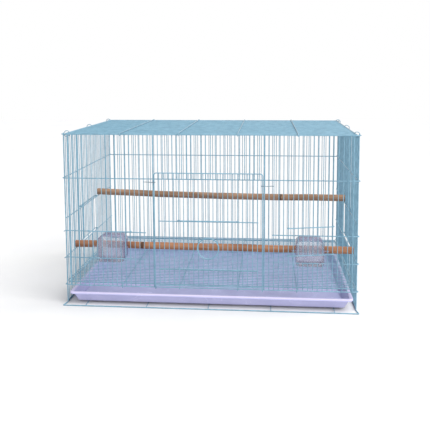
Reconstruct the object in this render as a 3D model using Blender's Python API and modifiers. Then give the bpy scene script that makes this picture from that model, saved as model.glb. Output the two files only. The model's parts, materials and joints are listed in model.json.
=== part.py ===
"""Knock-down wire cage for small birds.

Six welded wire panels hook together round four corner posts.  A pull-out tray lies on the
base wires under a wire floor grate.  The front has a big drop-down door with a small lift
door in it, and two lift doors in front of clear feeder cups.  Each end has a lift door for a
nest box.  Two wooden perches rest on the end panels' rails.

X runs left to right, Y front to back and Z up.  The origin is the middle of the footprint.
"""

import math

import bmesh
import bpy
from mathutils import Matrix, Vector

MM = 0.001

# Overall sizes
WIDTH = 762 * MM  # between the corner posts, left to right
DEPTH = 457 * MM  # between the front bars and the back bars
TOP_Z = 454 * MM  # top rails of the front and back panels
FRONT_BAYS = 61  # gaps between bars across the front and the back
SIDE_BAYS = 36  # gaps between bars from the front post to the back post

# Wire
BAR_WIRE = 2.0 * MM
RAIL_WIRE = 2.6 * MM
LOOP_WIRE = 1.8 * MM
GAP = 0.3 * MM  # clearance between wires that only touch
WELD = 0.3 * MM  # how far welded wires sink into each other
FRAME_WIRE = BAR_WIRE + 2 * (GAP + WELD)
MAT_END_WIRE = FRAME_WIRE + 2 * WELD
RAIL_SET = BAR_WIRE / 2 + GAP + RAIL_WIRE / 2  # rails lie behind the bars
STUB_SET = GAP + WELD  # bars cut at an opening sit back, to be welded to its rails
STUB_PAST = RAIL_WIRE / 4  # cut bars end this far past the middle of their rail
RAIL_STEP = RAIL_WIRE + GAP  # from a rail to the next wire that lies on it
HOOK_RUN = 8 * MM  # a top or bottom rail bends in over this length to hook round its post
TURN = math.cos(math.pi / 8)  # flat to corner of the eight-sided loops

# Rail heights
BELT_Z = 338 * MM
FEEDER_HIGH_Z = 195 * MM
FEEDER_LOW_Z = 122.5 * MM
FLOOR_Z = 50 * MM
NEST_HIGH_Z = 230.5 * MM
NEST_LOW_Z = 128 * MM
SIDE_FOOT_Z = 60 * MM

# Front door
DOOR_POST_BAY = 19  # bays from each corner post to the door opening
DOOR_SIDE = 3.7 * MM  # the door's side wires stand this far inside the opening's posts
DOOR_BAYS = 22
DOOR_TOP_Z = 355.5 * MM
DOOR_LIFT = 7.5 * MM  # the door's bottom wire stands above the rail that it turns on
DOOR_SET = 6.5 * MM  # the door hangs this far in front of the bars
DOOR_CORNER = 6 * MM
DOOR_RAIL_END = 11 * MM  # the door's cross rails stop this far inside its side wires

# Lift doors
SMALL_HIGH_Z = 228.5 * MM
SMALL_LOW_Z = 101 * MM
SMALL_BAYS = 12
FEEDER_POST_BAY = 5  # first guide bar of a feeder door, counted from the corner post
FEEDER_BAYS = 9
FEEDER_RAIL_BAYS = 17.3  # from the corner to the inner ends of the feeder's rails
NEST_FIRST_BAY = 10
NEST_BAYS = 12
RAISED = 20 * MM  # the right feeder door is stored partly lifted
RAISED_SLOPE = math.tan(math.radians(3.5))  # and has racked on its guide bars
RING_RADIUS = 27.5 * MM
RING_Z = 160 * MM
RING_SIDES = 24

# Latches on the front door
LEFT_LATCH_Z = 331 * MM
RIGHT_LATCH_Z = 324 * MM
LATCH_REACH = 27 * MM
LATCH_TIP = 1.8 * MM  # length of the arm's turned-up end
LATCH_RISE = 3.6 * MM

# Top and floor mats
MAT_INSET = 6 * MM  # from the corner posts to the mats' end wires
MAT_CROSS = 5  # the cross wires split the width in this many parts
LOOP_BAYS = (1.5, 17.5, 34.5)  # bays where the loops tie the top to each end panel
LOOP_SIDES = 12

# Base
BASE_WIRE = 3.0 * MM
BASE_REACH = 20 * MM  # the base stands out in front of the front bars
BASE_FLARE = 4 * MM
BASE_END = 57 * MM  # from a corner post to the first cross wire
BASE_CROSS = 5

# Tray
TRAY_WIDTH = 743.5 * MM
TRAY_FRONT = 8 * MM  # the rim stands out in front of the front bars
TRAY_REAR = 7 * MM
TRAY_TOP_Z = 33 * MM
TRAY_WALL = 2.2 * MM
TRAY_TAPER = 20 * MM
TRAY_FRONT_TAPER = 6 * MM
TRAY_RIM = 7 * MM
TRAY_LIP = 4 * MM
TRAY_CORNER = 10.5 * MM

# Perches
PERCH_DIAMETER = 20 * MM
PERCH_SIDES = 12
PERCH_CHAMFER = 1.5 * MM
PERCH_SLOT_GAP = 0.6 * MM  # clearance between a perch's slot and its bar
PERCH_END = 1.2 * MM  # a perch's end reaches this far past the bars' middle
UPPER_PERCH_BARS = (24, 20)  # end panel bars that the left and right ends straddle
PERCH_CLEAR = 4 * MM  # least room between the lower perch and the feeder cups
LOWER_PERCH_SLANT = 1  # bars that its left end lies further back than its right end

# Feeder cups
CUP_WIDTH = 73 * MM
CUP_DEPTH = 47 * MM
CUP_LOW_Z = 112 * MM
CUP_HIGH_Z = 182 * MM
CUP_RIM_Z = 154 * MM
CUP_WALL = 1.8 * MM
CUP_CORNER = 14 * MM
CUP_EAR = 12 * MM
CUP_SET = 1.5 * MM  # from the feeder's rails to the cup's front
CUP_TAB = 5 * MM  # width of the two tabs that hook over the lower rail
CUP_TAB_BAYS = 2  # from the cup's middle to each tab
CUP_HOOK = 1.5 * MM  # thickness of the tabs' hooks

# Places that follow from the sizes
HOOK_RADIUS = (FRAME_WIRE / math.sqrt(2) + GAP + RAIL_WIRE / 2) / TURN
EYE_RADIUS = (RAIL_WIRE / math.sqrt(2) + GAP + RAIL_WIRE / 2) / TURN
CURL_RADIUS = (BAR_WIRE / 2 + GAP + RAIL_WIRE / 2) / TURN
POST_SET = RAIL_SET + HOOK_RADIUS  # the corner posts stand behind the front bars
REAR_OUT = EYE_RADIUS + RAIL_WIRE / 2
FRONT_OUT = BASE_REACH + BASE_WIRE / 2
FRONT_Y = -(DEPTH + REAR_OUT - FRONT_OUT) / 2
BACK_Y = FRONT_Y + DEPTH
MID_Y = (FRONT_Y + BACK_Y) / 2
FRONT_PITCH = WIDTH / FRONT_BAYS
POST_SPAN = DEPTH - 2 * POST_SET
SIDE_PITCH = POST_SPAN / SIDE_BAYS
BASE_RAIL_Z = BASE_WIRE + GAP + RAIL_WIRE / 2
SIDE_TOP_Z = TOP_Z - RAIL_STEP
DOOR_POST_U = WIDTH / 2 - DOOR_POST_BAY * FRONT_PITCH
DOOR_WIDTH = 2 * (DOOR_POST_U - DOOR_SIDE)
DOOR_PITCH = DOOR_WIDTH / DOOR_BAYS
DOOR_LOW_Z = FLOOR_Z + DOOR_LIFT
SMALL_WIDTH = SMALL_BAYS * DOOR_PITCH
FEEDER_U = WIDTH / 2 - (FEEDER_POST_BAY + FEEDER_BAYS / 2) * FRONT_PITCH
FEEDER_WIDTH = FEEDER_BAYS * FRONT_PITCH
CUP_FRONT = RAIL_SET + RAIL_WIRE / 2 + CUP_SET  # from the front bars' middle
CUP_BACK = CUP_FRONT + CUP_DEPTH
PERCH_MIN = CUP_BACK + PERCH_CLEAR + PERCH_DIAMETER / 2 - POST_SET
LOWER_PERCH_BAR = math.ceil(PERCH_MIN / SIDE_PITCH)  # first bar that clears the cups
NEST_U = -POST_SPAN / 2 + (NEST_FIRST_BAY + NEST_BAYS / 2) * SIDE_PITCH
NEST_WIDTH = NEST_BAYS * SIDE_PITCH

# Colour, roughness and metallic value of each finish
COATED_WIRE = ((0.36, 0.58, 0.70, 1.0), 0.35, 0.0)
BRIGHT_WIRE = ((0.45, 0.50, 0.54, 1.0), 0.3, 0.8)
TRAY_PLASTIC = ((0.50, 0.48, 0.78, 1.0), 0.25, 0.0)
CLEAR_PLASTIC = ((0.80, 0.82, 0.86, 0.4), 0.08, 0.0)
WOOD = ((0.46, 0.24, 0.13, 1.0), 0.65, 0.0)


class Plane:
    """An upright plane: u runs along it, w points out of the cage and z is the height."""

    def __init__(self, x, y, along, outward):
        self.origin = Vector((x, y, 0))
        self.along = Vector(along)
        self.outward = Vector(outward)

    def at(self, u, w, z):
        return self.origin + self.along * u + self.outward * w + Vector((0, 0, z))

    def moved(self, w):
        """The same plane, w further out."""
        start = self.origin + self.outward * w
        return Plane(start.x, start.y, self.along, self.outward)


FRONT = Plane(0, FRONT_Y, (1, 0, 0), (0, -1, 0))
BACK = Plane(0, BACK_Y, (1, 0, 0), (0, 1, 0))
LEFT = Plane(-WIDTH / 2, MID_Y, (0, 1, 0), (-1, 0, 0))
RIGHT = Plane(WIDTH / 2, MID_Y, (0, 1, 0), (1, 0, 0))
DOOR = FRONT.moved(DOOR_SET)


def clear_scene():
    for item in list(bpy.data.objects):
        bpy.data.objects.remove(item, do_unlink=True)


def new_collection(name):
    group = bpy.data.collections.new(name)
    bpy.context.scene.collection.children.link(group)
    return group


clear_scene()
PARTS = new_collection("bird_cage")
CUTTERS = new_collection("cutters")


def material(name, finish):
    """A Principled material for one sub-part."""
    colour, roughness, metallic = finish
    made = bpy.data.materials.new(name)
    made.use_nodes = True
    shader = made.node_tree.nodes["Principled BSDF"]
    shader.inputs["Base Color"].default_value = colour
    shader.inputs["Roughness"].default_value = roughness
    shader.inputs["Metallic"].default_value = metallic
    shader.inputs["Alpha"].default_value = colour[3]
    return made


def evaluated_mesh(item):
    """The item's mesh with its curve bevel and modifiers applied."""
    graph = bpy.context.evaluated_depsgraph_get()
    return bpy.data.meshes.new_from_object(item.evaluated_get(graph))


def weld_doubles(mesh):
    work = bmesh.new()
    work.from_mesh(mesh)
    bmesh.ops.remove_doubles(work, verts=work.verts, dist=0.00001)
    work.to_mesh(mesh)
    work.free()


def curve_mesh(name, curve):
    """A curve turned into a closed mesh object, and the curve removed."""
    bent = bpy.data.objects.new(name, curve)
    CUTTERS.objects.link(bent)
    mesh = evaluated_mesh(bent)
    weld_doubles(mesh)
    made = bpy.data.objects.new(name, mesh)
    made.matrix_world = bent.matrix_world
    CUTTERS.objects.link(made)
    bpy.data.objects.remove(bent)
    bpy.data.curves.remove(curve)
    return made


def wires(name, paths, size, flat=True, closed=False):
    """Square wires along paths.  Flat ones have faces square to the axes, others corners."""
    curve = bpy.data.curves.new(name, "CURVE")
    curve.dimensions = "3D"
    curve.bevel_resolution = 0
    curve.bevel_depth = size / 2 * (math.sqrt(2) if flat else 1)
    curve.use_fill_caps = True
    for path in paths:
        spline = curve.splines.new("POLY")
        spline.points.add(len(path) - 1)
        spline.use_cyclic_u = closed
        for point, place in zip(spline.points, path):
            point.co = (*place, 1)
            point.tilt = math.pi / 4 if flat else 0
    return curve_mesh(name, curve)


def finish(name, body, look, additions=(), cuts=()):
    """Names a part, joins and cuts it, and gives it its material and collection."""
    CUTTERS.objects.unlink(body)
    PARTS.objects.link(body)
    body.name = name
    body.data.name = name
    for operation, others in (("UNION", additions), ("DIFFERENCE", cuts)):
        for other in others:
            other.hide_render = True
            other.display_type = "WIRE"
            step = body.modifiers.new(operation.lower(), "BOOLEAN")
            step.operation = operation
            step.solver = "EXACT"
            step.object = other
    body.data.materials.clear()
    body.data.materials.append(material(name + "_finish", look))
    return body


def set_axis(body, place):
    """Moves a part's origin onto its joint's axis, with its mesh left where it is."""
    body.data.transform(Matrix.Translation(-place))
    body.location = place
    return body


def arc(centre_a, centre_b, radius, first, last, steps):
    """Points on a circle, as pairs, from one angle in degrees to another."""
    angles = [math.radians(first + (last - first) * k / steps) for k in range(steps + 1)]
    return [
        (centre_a + radius * math.cos(t), centre_b + radius * math.sin(t)) for t in angles
    ]


def corner_hook(plane, z, w, end):
    """Rail end curled round a corner post; end is -1 on the left and 1 on the right."""
    turns = arc(WIDTH / 2, -POST_SET, HOOK_RADIUS, 90, -90, 4)
    if w > -RAIL_SET:
        turns.insert(0, (WIDTH / 2 - HOOK_RUN, w))
    return [plane.at(end * u, out, z) for u, out in turns]


def hooked_rail(plane, z, w):
    """A full-width rail with a hook at each end."""
    return corner_hook(plane, z, w, -1)[::-1] + corner_hook(plane, z, w, 1)


def upright(plane, u, low, high, w=0.0):
    return [plane.at(u, w, low), plane.at(u, w, high)]


def front_panel():
    """Front panel, open in the middle for the door and at each side for a feeder cup."""
    fine = []
    stubs = []
    for side in (-1, 1):
        for bay in range(2, DOOR_POST_BAY):
            u = side * (WIDTH / 2 - bay * FRONT_PITCH)
            first_open = FEEDER_POST_BAY + 2
            if first_open <= bay < FEEDER_POST_BAY + FEEDER_BAYS - 1:
                low_end = FEEDER_LOW_Z + STUB_PAST
                high_end = FEEDER_HIGH_Z - STUB_PAST
                stubs.append(upright(FRONT, u, FLOOR_Z, low_end, -STUB_SET))
                stubs.append(upright(FRONT, u, high_end, TOP_Z, -STUB_SET))
            else:
                fine.append(upright(FRONT, u, FLOOR_Z, TOP_Z))
    for bay in range(DOOR_POST_BAY + 1, FRONT_BAYS - DOOR_POST_BAY):
        u = -WIDTH / 2 + bay * FRONT_PITCH
        stubs.append(upright(FRONT, u, BELT_Z - STUB_PAST, TOP_Z, -STUB_SET))
    posts = []
    for side in (-1, 1):
        for bay in (1, DOOR_POST_BAY):
            posts.append(
                upright(FRONT, side * (WIDTH / 2 - bay * FRONT_PITCH), FLOOR_Z, TOP_Z)
            )
    rails = [
        hooked_rail(FRONT, TOP_Z, 0),
        hooked_rail(FRONT, FLOOR_Z, 0),
        hooked_rail(FRONT, BELT_Z, -RAIL_SET),
    ]
    for side in (-1, 1):
        inner = side * (WIDTH / 2 - FEEDER_RAIL_BAYS * FRONT_PITCH)
        for z in (FEEDER_HIGH_Z, FEEDER_LOW_Z):
            end = FRONT.at(inner, -RAIL_SET, z)
            rails.append([end] + corner_hook(FRONT, z, -RAIL_SET, side))
    body = wires("front_bars", fine + stubs, BAR_WIRE, flat=False)
    joined = [wires("front_rails", rails, RAIL_WIRE), wires("front_posts", posts, FRAME_WIRE)]
    return finish("front_panel", body, COATED_WIRE, joined)


def back_panel():
    """Back panel, closed from the top to the base."""
    bottom = BASE_RAIL_Z + RAIL_STEP
    places = [-WIDTH / 2 + bay * FRONT_PITCH for bay in range(1, FRONT_BAYS)]
    fine = [upright(BACK, u, bottom, TOP_Z) for u in places[1:-1]]
    posts = [upright(BACK, u, bottom, TOP_Z) for u in (places[0], places[-1])]
    rails = [
        hooked_rail(BACK, TOP_Z, 0),
        hooked_rail(BACK, bottom, 0),
        hooked_rail(BACK, BELT_Z, -RAIL_SET),
        hooked_rail(BACK, FLOOR_Z, -RAIL_SET),
    ]
    body = wires("back_bars", fine, BAR_WIRE, flat=False)
    joined = [wires("back_rails", rails, RAIL_WIRE), wires("back_posts", posts, FRAME_WIRE)]
    return finish("back_panel", body, COATED_WIRE, joined)


def bar_u(bay):
    """Place of an end panel's bar along the panel."""
    return -POST_SPAN / 2 + bay * SIDE_PITCH


def side_panel(name, plane):
    """End panel with the two corner posts and an opening behind the nest box door."""
    fine = []
    for bay in range(1, SIDE_BAYS):
        u = bar_u(bay)
        if NEST_FIRST_BAY < bay < NEST_FIRST_BAY + NEST_BAYS:
            low_end = NEST_LOW_Z + STUB_PAST
            high_end = NEST_HIGH_Z - STUB_PAST
            fine.append(upright(plane, u, BASE_RAIL_Z, low_end, -STUB_SET))
            fine.append(upright(plane, u, high_end, SIDE_TOP_Z, -STUB_SET))
        else:
            fine.append(upright(plane, u, BASE_RAIL_Z, SIDE_TOP_Z))
    post_top = TOP_Z + RAIL_WIRE
    posts = [
        upright(plane, bar_u(bay), BASE_RAIL_Z - STUB_PAST, post_top)
        for bay in (0, SIDE_BAYS)
    ]
    rails = []
    ends = (bar_u(0) - WELD, bar_u(SIDE_BAYS) + WELD)
    for z, w in (
        (BASE_RAIL_Z, 0),
        (SIDE_FOOT_Z, -RAIL_SET),
        (NEST_LOW_Z, -RAIL_SET),
        (NEST_HIGH_Z, -RAIL_SET),
        (BELT_Z + RAIL_STEP, -RAIL_SET),
        (SIDE_TOP_Z, 0),
    ):
        rails.append([plane.at(u, w, z) for u in ends])
    body = wires(name + "_bars", fine, BAR_WIRE, flat=False)
    joined = [
        wires(name + "_rails", rails, RAIL_WIRE),
        wires(name + "_posts", posts, FRAME_WIRE),
    ]
    return finish(name, body, COATED_WIRE, joined)


def mat(name, rail_z, bars_above):
    """Lengthwise bars on cross wires that hook over the front and back panels' rails."""
    cross_z = rail_z + EYE_RADIUS
    bar_z = cross_z + (RAIL_SET if bars_above else -RAIL_SET)
    end_x = WIDTH / 2 - MAT_INSET
    lines = [MID_Y + bar_u(bay) for bay in range(SIDE_BAYS + 1)]
    fine = [[(-end_x, y, bar_z), (end_x, y, bar_z)] for y in lines[1:-1]]
    edges = [[(-end_x, y, bar_z), (end_x, y, bar_z)] for y in (lines[0], lines[-1])]
    ends = [
        [(x, lines[0] - WELD, bar_z), (x, lines[-1] + WELD, bar_z)] for x in (-end_x, end_x)
    ]
    back_rail = 0 if rail_z > FLOOR_Z else RAIL_SET
    crossings = []
    for part in range(1, MAT_CROSS):
        x = WIDTH * (part / MAT_CROSS - 0.5)
        front = arc(FRONT_Y, rail_z, EYE_RADIUS, 90, 225, 3)
        back = arc(BACK_Y - back_rail, rail_z, EYE_RADIUS, 90, -45, 3)
        crossings.append([(x, y, z) for y, z in front[::-1] + back])
    body = wires(name + "_bars", fine, BAR_WIRE, flat=False)
    joined = [
        wires(name + "_ends", ends, MAT_END_WIRE),
        wires(name + "_edges", edges, FRAME_WIRE),
        wires(name + "_crossings", crossings, RAIL_WIRE),
    ]
    return finish(name, body, COATED_WIRE, joined)


def base_frame():
    """Outline wire with flared front corners, and cross wires that carry the tray."""
    low = BASE_WIRE / 2
    side_x = WIDTH / 2
    front_y = FRONT_Y - BASE_REACH
    outline = [
        (-side_x, BACK_Y, low),
        (-side_x, FRONT_Y, low),
        (-side_x - BASE_FLARE, front_y, low),
        (-side_x, front_y, low),
        (side_x, front_y, low),
        (side_x + BASE_FLARE, front_y, low),
        (side_x, FRONT_Y, low),
        (side_x, BACK_Y, low),
    ]
    body = wires("base_outline", [outline], BASE_WIRE, closed=True)
    cross_z = BASE_WIRE + BAR_WIRE / 2 - WELD
    step = (WIDTH - 2 * BASE_END) / (BASE_CROSS - 1)
    crossings = []
    for part in range(BASE_CROSS):
        x = -WIDTH / 2 + BASE_END + part * step
        crossings.append([(x, front_y + WELD, cross_z), (x, BACK_Y - WELD, cross_z)])
    joined = [wires("base_crossings", crossings, BAR_WIRE)]
    return finish("base_frame", body, COATED_WIRE, joined)


def loop(name, first, first_size, second, second_size, y):
    """Round wire loop in an X-Z plane that ties two square wires together."""
    middle = (first + second) / 2
    reach = 0.0
    for centre, size in ((first, first_size), (second, second_size)):
        offset = centre - middle
        corner = Vector((abs(offset.x) + size / 2, abs(offset.y) + size / 2))
        reach = max(reach, corner.length)
    radius = (reach + GAP + LOOP_WIRE / 2) / math.cos(math.pi / LOOP_SIDES)
    points = arc(middle.x, middle.y, radius, 0, 360, LOOP_SIDES)[:-1]
    body = wires(name, [[(x, y, z) for x, z in points]], LOOP_WIRE, flat=False, closed=True)
    return finish(name, body, COATED_WIRE)


def top_loops():
    """Three loops at each end tie the top mat to the end panel's top rail."""
    mat_z = TOP_Z + EYE_RADIUS - RAIL_SET
    for side, word in ((-1, "left"), (1, "right")):
        mat_wire = Vector((side * (WIDTH / 2 - MAT_INSET), mat_z))
        rail = Vector((side * WIDTH / 2, SIDE_TOP_Z))
        for bay, place in zip(LOOP_BAYS, ("front", "middle", "rear")):
            name = f"top_loop_{word}_{place}"
            y = MID_Y + bar_u(bay)
            loop(name, mat_wire, MAT_END_WIRE, rail, RAIL_WIRE, y)


def front_door():
    """Drop-down door that turns on the front panel's bottom rail."""
    half = DOOR_WIDTH / 2
    eye = arc(0, FLOOR_Z, EYE_RADIUS, -135, 0, 3)
    halves = []
    for u in (-half, half):
        leg = [DOOR.at(u, w - DOOR_SET, z) for w, z in eye]
        side_wire = upright(DOOR, u, DOOR_LOW_Z, DOOR_TOP_Z - DOOR_CORNER)
        top_corner = DOOR.at(math.copysign(half - DOOR_CORNER, u), 0, DOOR_TOP_Z)
        halves.append(leg + side_wire + [top_corner])
    frame = halves[0] + halves[1][::-1]
    low = [DOOR.at(-half, 0, DOOR_LOW_Z), DOOR.at(half, 0, DOOR_LOW_Z)]
    rail_end = half - DOOR_RAIL_END
    rails = [
        [DOOR.at(-rail_end, -RAIL_SET, z), DOOR.at(rail_end, -RAIL_SET, z)]
        for z in (SMALL_LOW_Z, SMALL_HIGH_Z)
    ]
    fine = []
    first_guide = (DOOR_BAYS - SMALL_BAYS) // 2
    for bay in range(1, DOOR_BAYS):
        u = -half + bay * DOOR_PITCH
        if first_guide < bay < first_guide + SMALL_BAYS:
            low_end = SMALL_LOW_Z + STUB_PAST
            high_end = SMALL_HIGH_Z - STUB_PAST
            fine.append(upright(DOOR, u, DOOR_LOW_Z, low_end, -STUB_SET))
            fine.append(upright(DOOR, u, high_end, DOOR_TOP_Z, -STUB_SET))
        else:
            fine.append(upright(DOOR, u, DOOR_LOW_Z, DOOR_TOP_Z))
    body = wires("door_bars", fine, BAR_WIRE, flat=False)
    joined = [
        wires("door_frame", [frame], RAIL_WIRE),
        wires("door_low_wire", [low], RAIL_WIRE - WELD),
        wires("door_rails", rails, RAIL_WIRE),
    ]
    return set_axis(finish("front_door", body, COATED_WIRE, joined), FRONT.at(0, 0, FLOOR_Z))


def lift_door(name, plane, u_mid, width, bays, low_z, high_z, lift=0.0, slope=0.0):
    """Door that slides up its two guide bars, with a curl at each corner round a bar."""
    out = CURL_RADIUS
    rest_z = low_z + RAIL_STEP + lift
    height = high_z - low_z
    half = width / 2

    def place(u, w, z):
        """A point of the door, whose rails may slope while its bars stay upright."""
        return plane.at(u_mid + u, w, z + u * slope)

    rails = []
    for z in (rest_z, rest_z + height):
        turns = arc(half, 0, CURL_RADIUS, 90, -135, 5)
        left = [place(-u, w, z) for u, w in turns]
        right = [place(u, w, z) for u, w in turns]
        rails.append(left[::-1] + right)
    pitch = width / bays
    fine = []
    for bay in range(1, bays):
        u = -half + bay * pitch
        fine.append([place(u, out, rest_z), place(u, out, rest_z + height)])
    body = wires(name + "_bars", fine, BAR_WIRE, flat=False)
    joined = [wires(name + "_rails", rails, RAIL_WIRE)]
    made = finish(name, body, COATED_WIRE, joined)
    return set_axis(made, plane.at(u_mid, out, rest_z))


def door_ring():
    """Round ring welded to the face of the small door."""
    out = CURL_RADIUS + BAR_WIRE / 2 + GAP + BAR_WIRE / 2
    points = arc(0, RING_Z, RING_RADIUS, 0, 360, RING_SIDES)[:-1]
    path = [DOOR.at(u, out, z) for u, z in points]
    body = wires("small_door_ring", [path], BAR_WIRE, flat=False, closed=True)
    return set_axis(finish("small_door_ring", body, COATED_WIRE), DOOR.at(0, out, RING_Z))


def latch(name, side, z):
    """Wire latch on the door's side wire, with its arm lying along the front bars."""
    pivot_u = DOOR_WIDTH / 2
    radius = (RAIL_WIRE / math.sqrt(2) + GAP + LOOP_WIRE / 2) / TURN
    rest_w = BAR_WIRE / 2 + GAP + LOOP_WIRE / 2 - DOOR_SET
    tip = [
        (pivot_u + LATCH_REACH - LATCH_TIP, rest_w + WELD),
        (pivot_u + LATCH_REACH, rest_w + LATCH_RISE),
    ]
    path = arc(pivot_u, 0, radius, 360, 90, 6) + tip
    points = [DOOR.at(side * u, w, z) for u, w in path]
    body = finish(name, wires(name, [points], LOOP_WIRE, flat=False), BRIGHT_WIRE)
    return set_axis(body, DOOR.at(side * pivot_u, 0, z))


def box(name, low, high):
    """A box between two corners, from a cube."""
    made = bpy.data.meshes.new(name)
    work = bmesh.new()
    bmesh.ops.create_cube(work, size=1)
    middle = (Vector(low) + Vector(high)) / 2
    span = Vector(high) - Vector(low)
    bmesh.ops.scale(work, vec=span, verts=work.verts)
    bmesh.ops.translate(work, vec=middle, verts=work.verts)
    work.to_mesh(made)
    work.free()
    item = bpy.data.objects.new(name, made)
    CUTTERS.objects.link(item)
    return item


def tray():
    """Shallow tray with tapered walls and a turned-down rim, as a thickened open shell."""
    foot_z = BASE_WIRE + BAR_WIRE - WELD + GAP + TRAY_WALL / 2
    front_y = FRONT_Y - TRAY_FRONT
    rear_y = BACK_Y - TRAY_REAR
    middle_y = (front_y + rear_y) / 2
    rim_half = Vector((TRAY_WIDTH / 2, (rear_y - front_y) / 2))
    mouth = rim_half - Vector((TRAY_RIM, TRAY_RIM))
    foot = rim_half - Vector((TRAY_TAPER, TRAY_FRONT_TAPER + TRAY_RIM))
    work = bmesh.new()
    bmesh.ops.create_cube(work, size=2)
    for vertex in work.verts:
        half = mouth if vertex.co.z > 0 else foot
        height = TRAY_TOP_Z - TRAY_WALL / 2 if vertex.co.z > 0 else foot_z
        vertex.co.x *= half.x
        vertex.co.y = vertex.co.y * half.y + middle_y
        vertex.co.z = height
    lids = [face for face in work.faces if face.normal.z > 0.9]
    bmesh.ops.delete(work, geom=lids, context="FACES")
    corners = [edge for edge in work.edges if abs(edge.verts[0].co.z - edge.verts[1].co.z) > MM]
    bmesh.ops.bevel(
        work, geom=corners, offset=TRAY_CORNER, segments=3, profile=0.5, affect="EDGES"
    )
    rim = [edge for edge in work.edges if edge.is_boundary]
    for grow, drop in ((TRAY_RIM, 0.0), (0.0, TRAY_LIP)):
        grown = bmesh.ops.extrude_edge_only(work, edges=rim)["geom"]
        fresh = [item for item in grown if isinstance(item, bmesh.types.BMVert)]
        for vertex in fresh:
            across = (rim_half.x - TRAY_RIM + grow) / (rim_half.x - TRAY_RIM)
            along = (rim_half.y - TRAY_RIM + grow) / (rim_half.y - TRAY_RIM)
            vertex.co.x *= across
            vertex.co.y = middle_y + (vertex.co.y - middle_y) * along
            vertex.co.z -= drop
        rim = [
            item
            for item in grown
            if isinstance(item, bmesh.types.BMEdge) and item.is_boundary
        ]
    bmesh.ops.recalc_face_normals(work, faces=work.faces)
    mesh = bpy.data.meshes.new("tray")
    work.to_mesh(mesh)
    work.free()
    body = bpy.data.objects.new("tray", mesh)
    CUTTERS.objects.link(body)
    wall = body.modifiers.new("wall", "SOLIDIFY")
    wall.thickness = TRAY_WALL
    wall.offset = 0
    wall.use_even_offset = True
    return finish("tray", body, TRAY_PLASTIC)


def perch(name, bars, rail_z):
    """Dowel that lies on the end panels' rails, with a slot at each end round a bar."""
    radius = PERCH_DIAMETER / 2
    z = rail_z + RAIL_WIRE / 2 + GAP + radius
    ends = [LEFT.at(bar_u(bars[0]), PERCH_END, z), RIGHT.at(bar_u(bars[1]), PERCH_END, z)]
    span = ends[1] - ends[0]
    mesh = bpy.data.meshes.new(name)
    work = bmesh.new()
    bmesh.ops.create_cone(
        work,
        cap_ends=True,
        segments=PERCH_SIDES,
        radius1=radius,
        radius2=radius,
        depth=span.length,
    )
    rims = [edge for edge in work.edges if abs(edge.verts[0].co.z - edge.verts[1].co.z) < MM]
    bmesh.ops.bevel(work, geom=rims, offset=PERCH_CHAMFER, segments=1, affect="EDGES")
    work.to_mesh(mesh)
    work.free()
    mesh.shade_smooth()
    mesh.set_sharp_from_angle(angle=math.radians(40))
    turn = Vector((0, 0, 1)).rotation_difference(span)
    mesh.transform(turn.to_matrix().to_4x4())
    body = bpy.data.objects.new(name, mesh)
    CUTTERS.objects.link(body)
    middle = (ends[0] + ends[1]) / 2
    mesh.transform(Matrix.Translation(middle))
    slot_half = BAR_WIRE / 2 + PERCH_SLOT_GAP
    depth = PERCH_END + BAR_WIRE / 2 + STUB_SET + PERCH_SLOT_GAP
    slots = []
    for end, side in zip(ends, (-1, 1)):
        inner = end.x - side * depth
        outer = end.x + side * radius
        low = (min(inner, outer), end.y - slot_half, z - 2 * radius)
        high = (max(inner, outer), end.y + slot_half, z + 2 * radius)
        slots.append(box(name + "_slot", low, high))
    return set_axis(finish(name, body, WOOD, cuts=slots), middle)


def cup_outline(inset):
    """Rounded outline of a feeder cup seen from the front, as (x, z) pairs."""
    corner = CUP_CORNER - inset
    right = CUP_WIDTH / 2 - inset
    low = CUP_LOW_Z + inset
    high = CUP_HIGH_Z - inset
    points = []
    for x, z, first in (
        (right - corner, high - corner, 90),
        (-right + corner, high - corner, 180),
        (-right + corner, low + corner, 270),
        (right - corner, low + corner, 360),
    ):
        points += arc(x, z, corner, first - 90, first, 3)
    return points


def extruded(name, outlines, y_front, y_back, x_mid):
    """Flat outlines, the second a hole in the first, extruded from front to back."""
    curve = bpy.data.curves.new(name, "CURVE")
    curve.dimensions = "2D"
    curve.fill_mode = "BOTH"
    curve.extrude = (y_back - y_front) / 2
    for outline in outlines:
        spline = curve.splines.new("POLY")
        spline.points.add(len(outline) - 1)
        spline.use_cyclic_u = True
        for point, (x, z) in zip(spline.points, outline):
            point.co = (x, z, 0, 1)
    item = curve_mesh(name, curve)
    upright_turn = Matrix.Rotation(math.pi / 2, 4, "X")
    item.data.transform(upright_turn)
    item.data.transform(Matrix.Translation((x_mid, (y_front + y_back) / 2, 0)))
    return item


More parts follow.
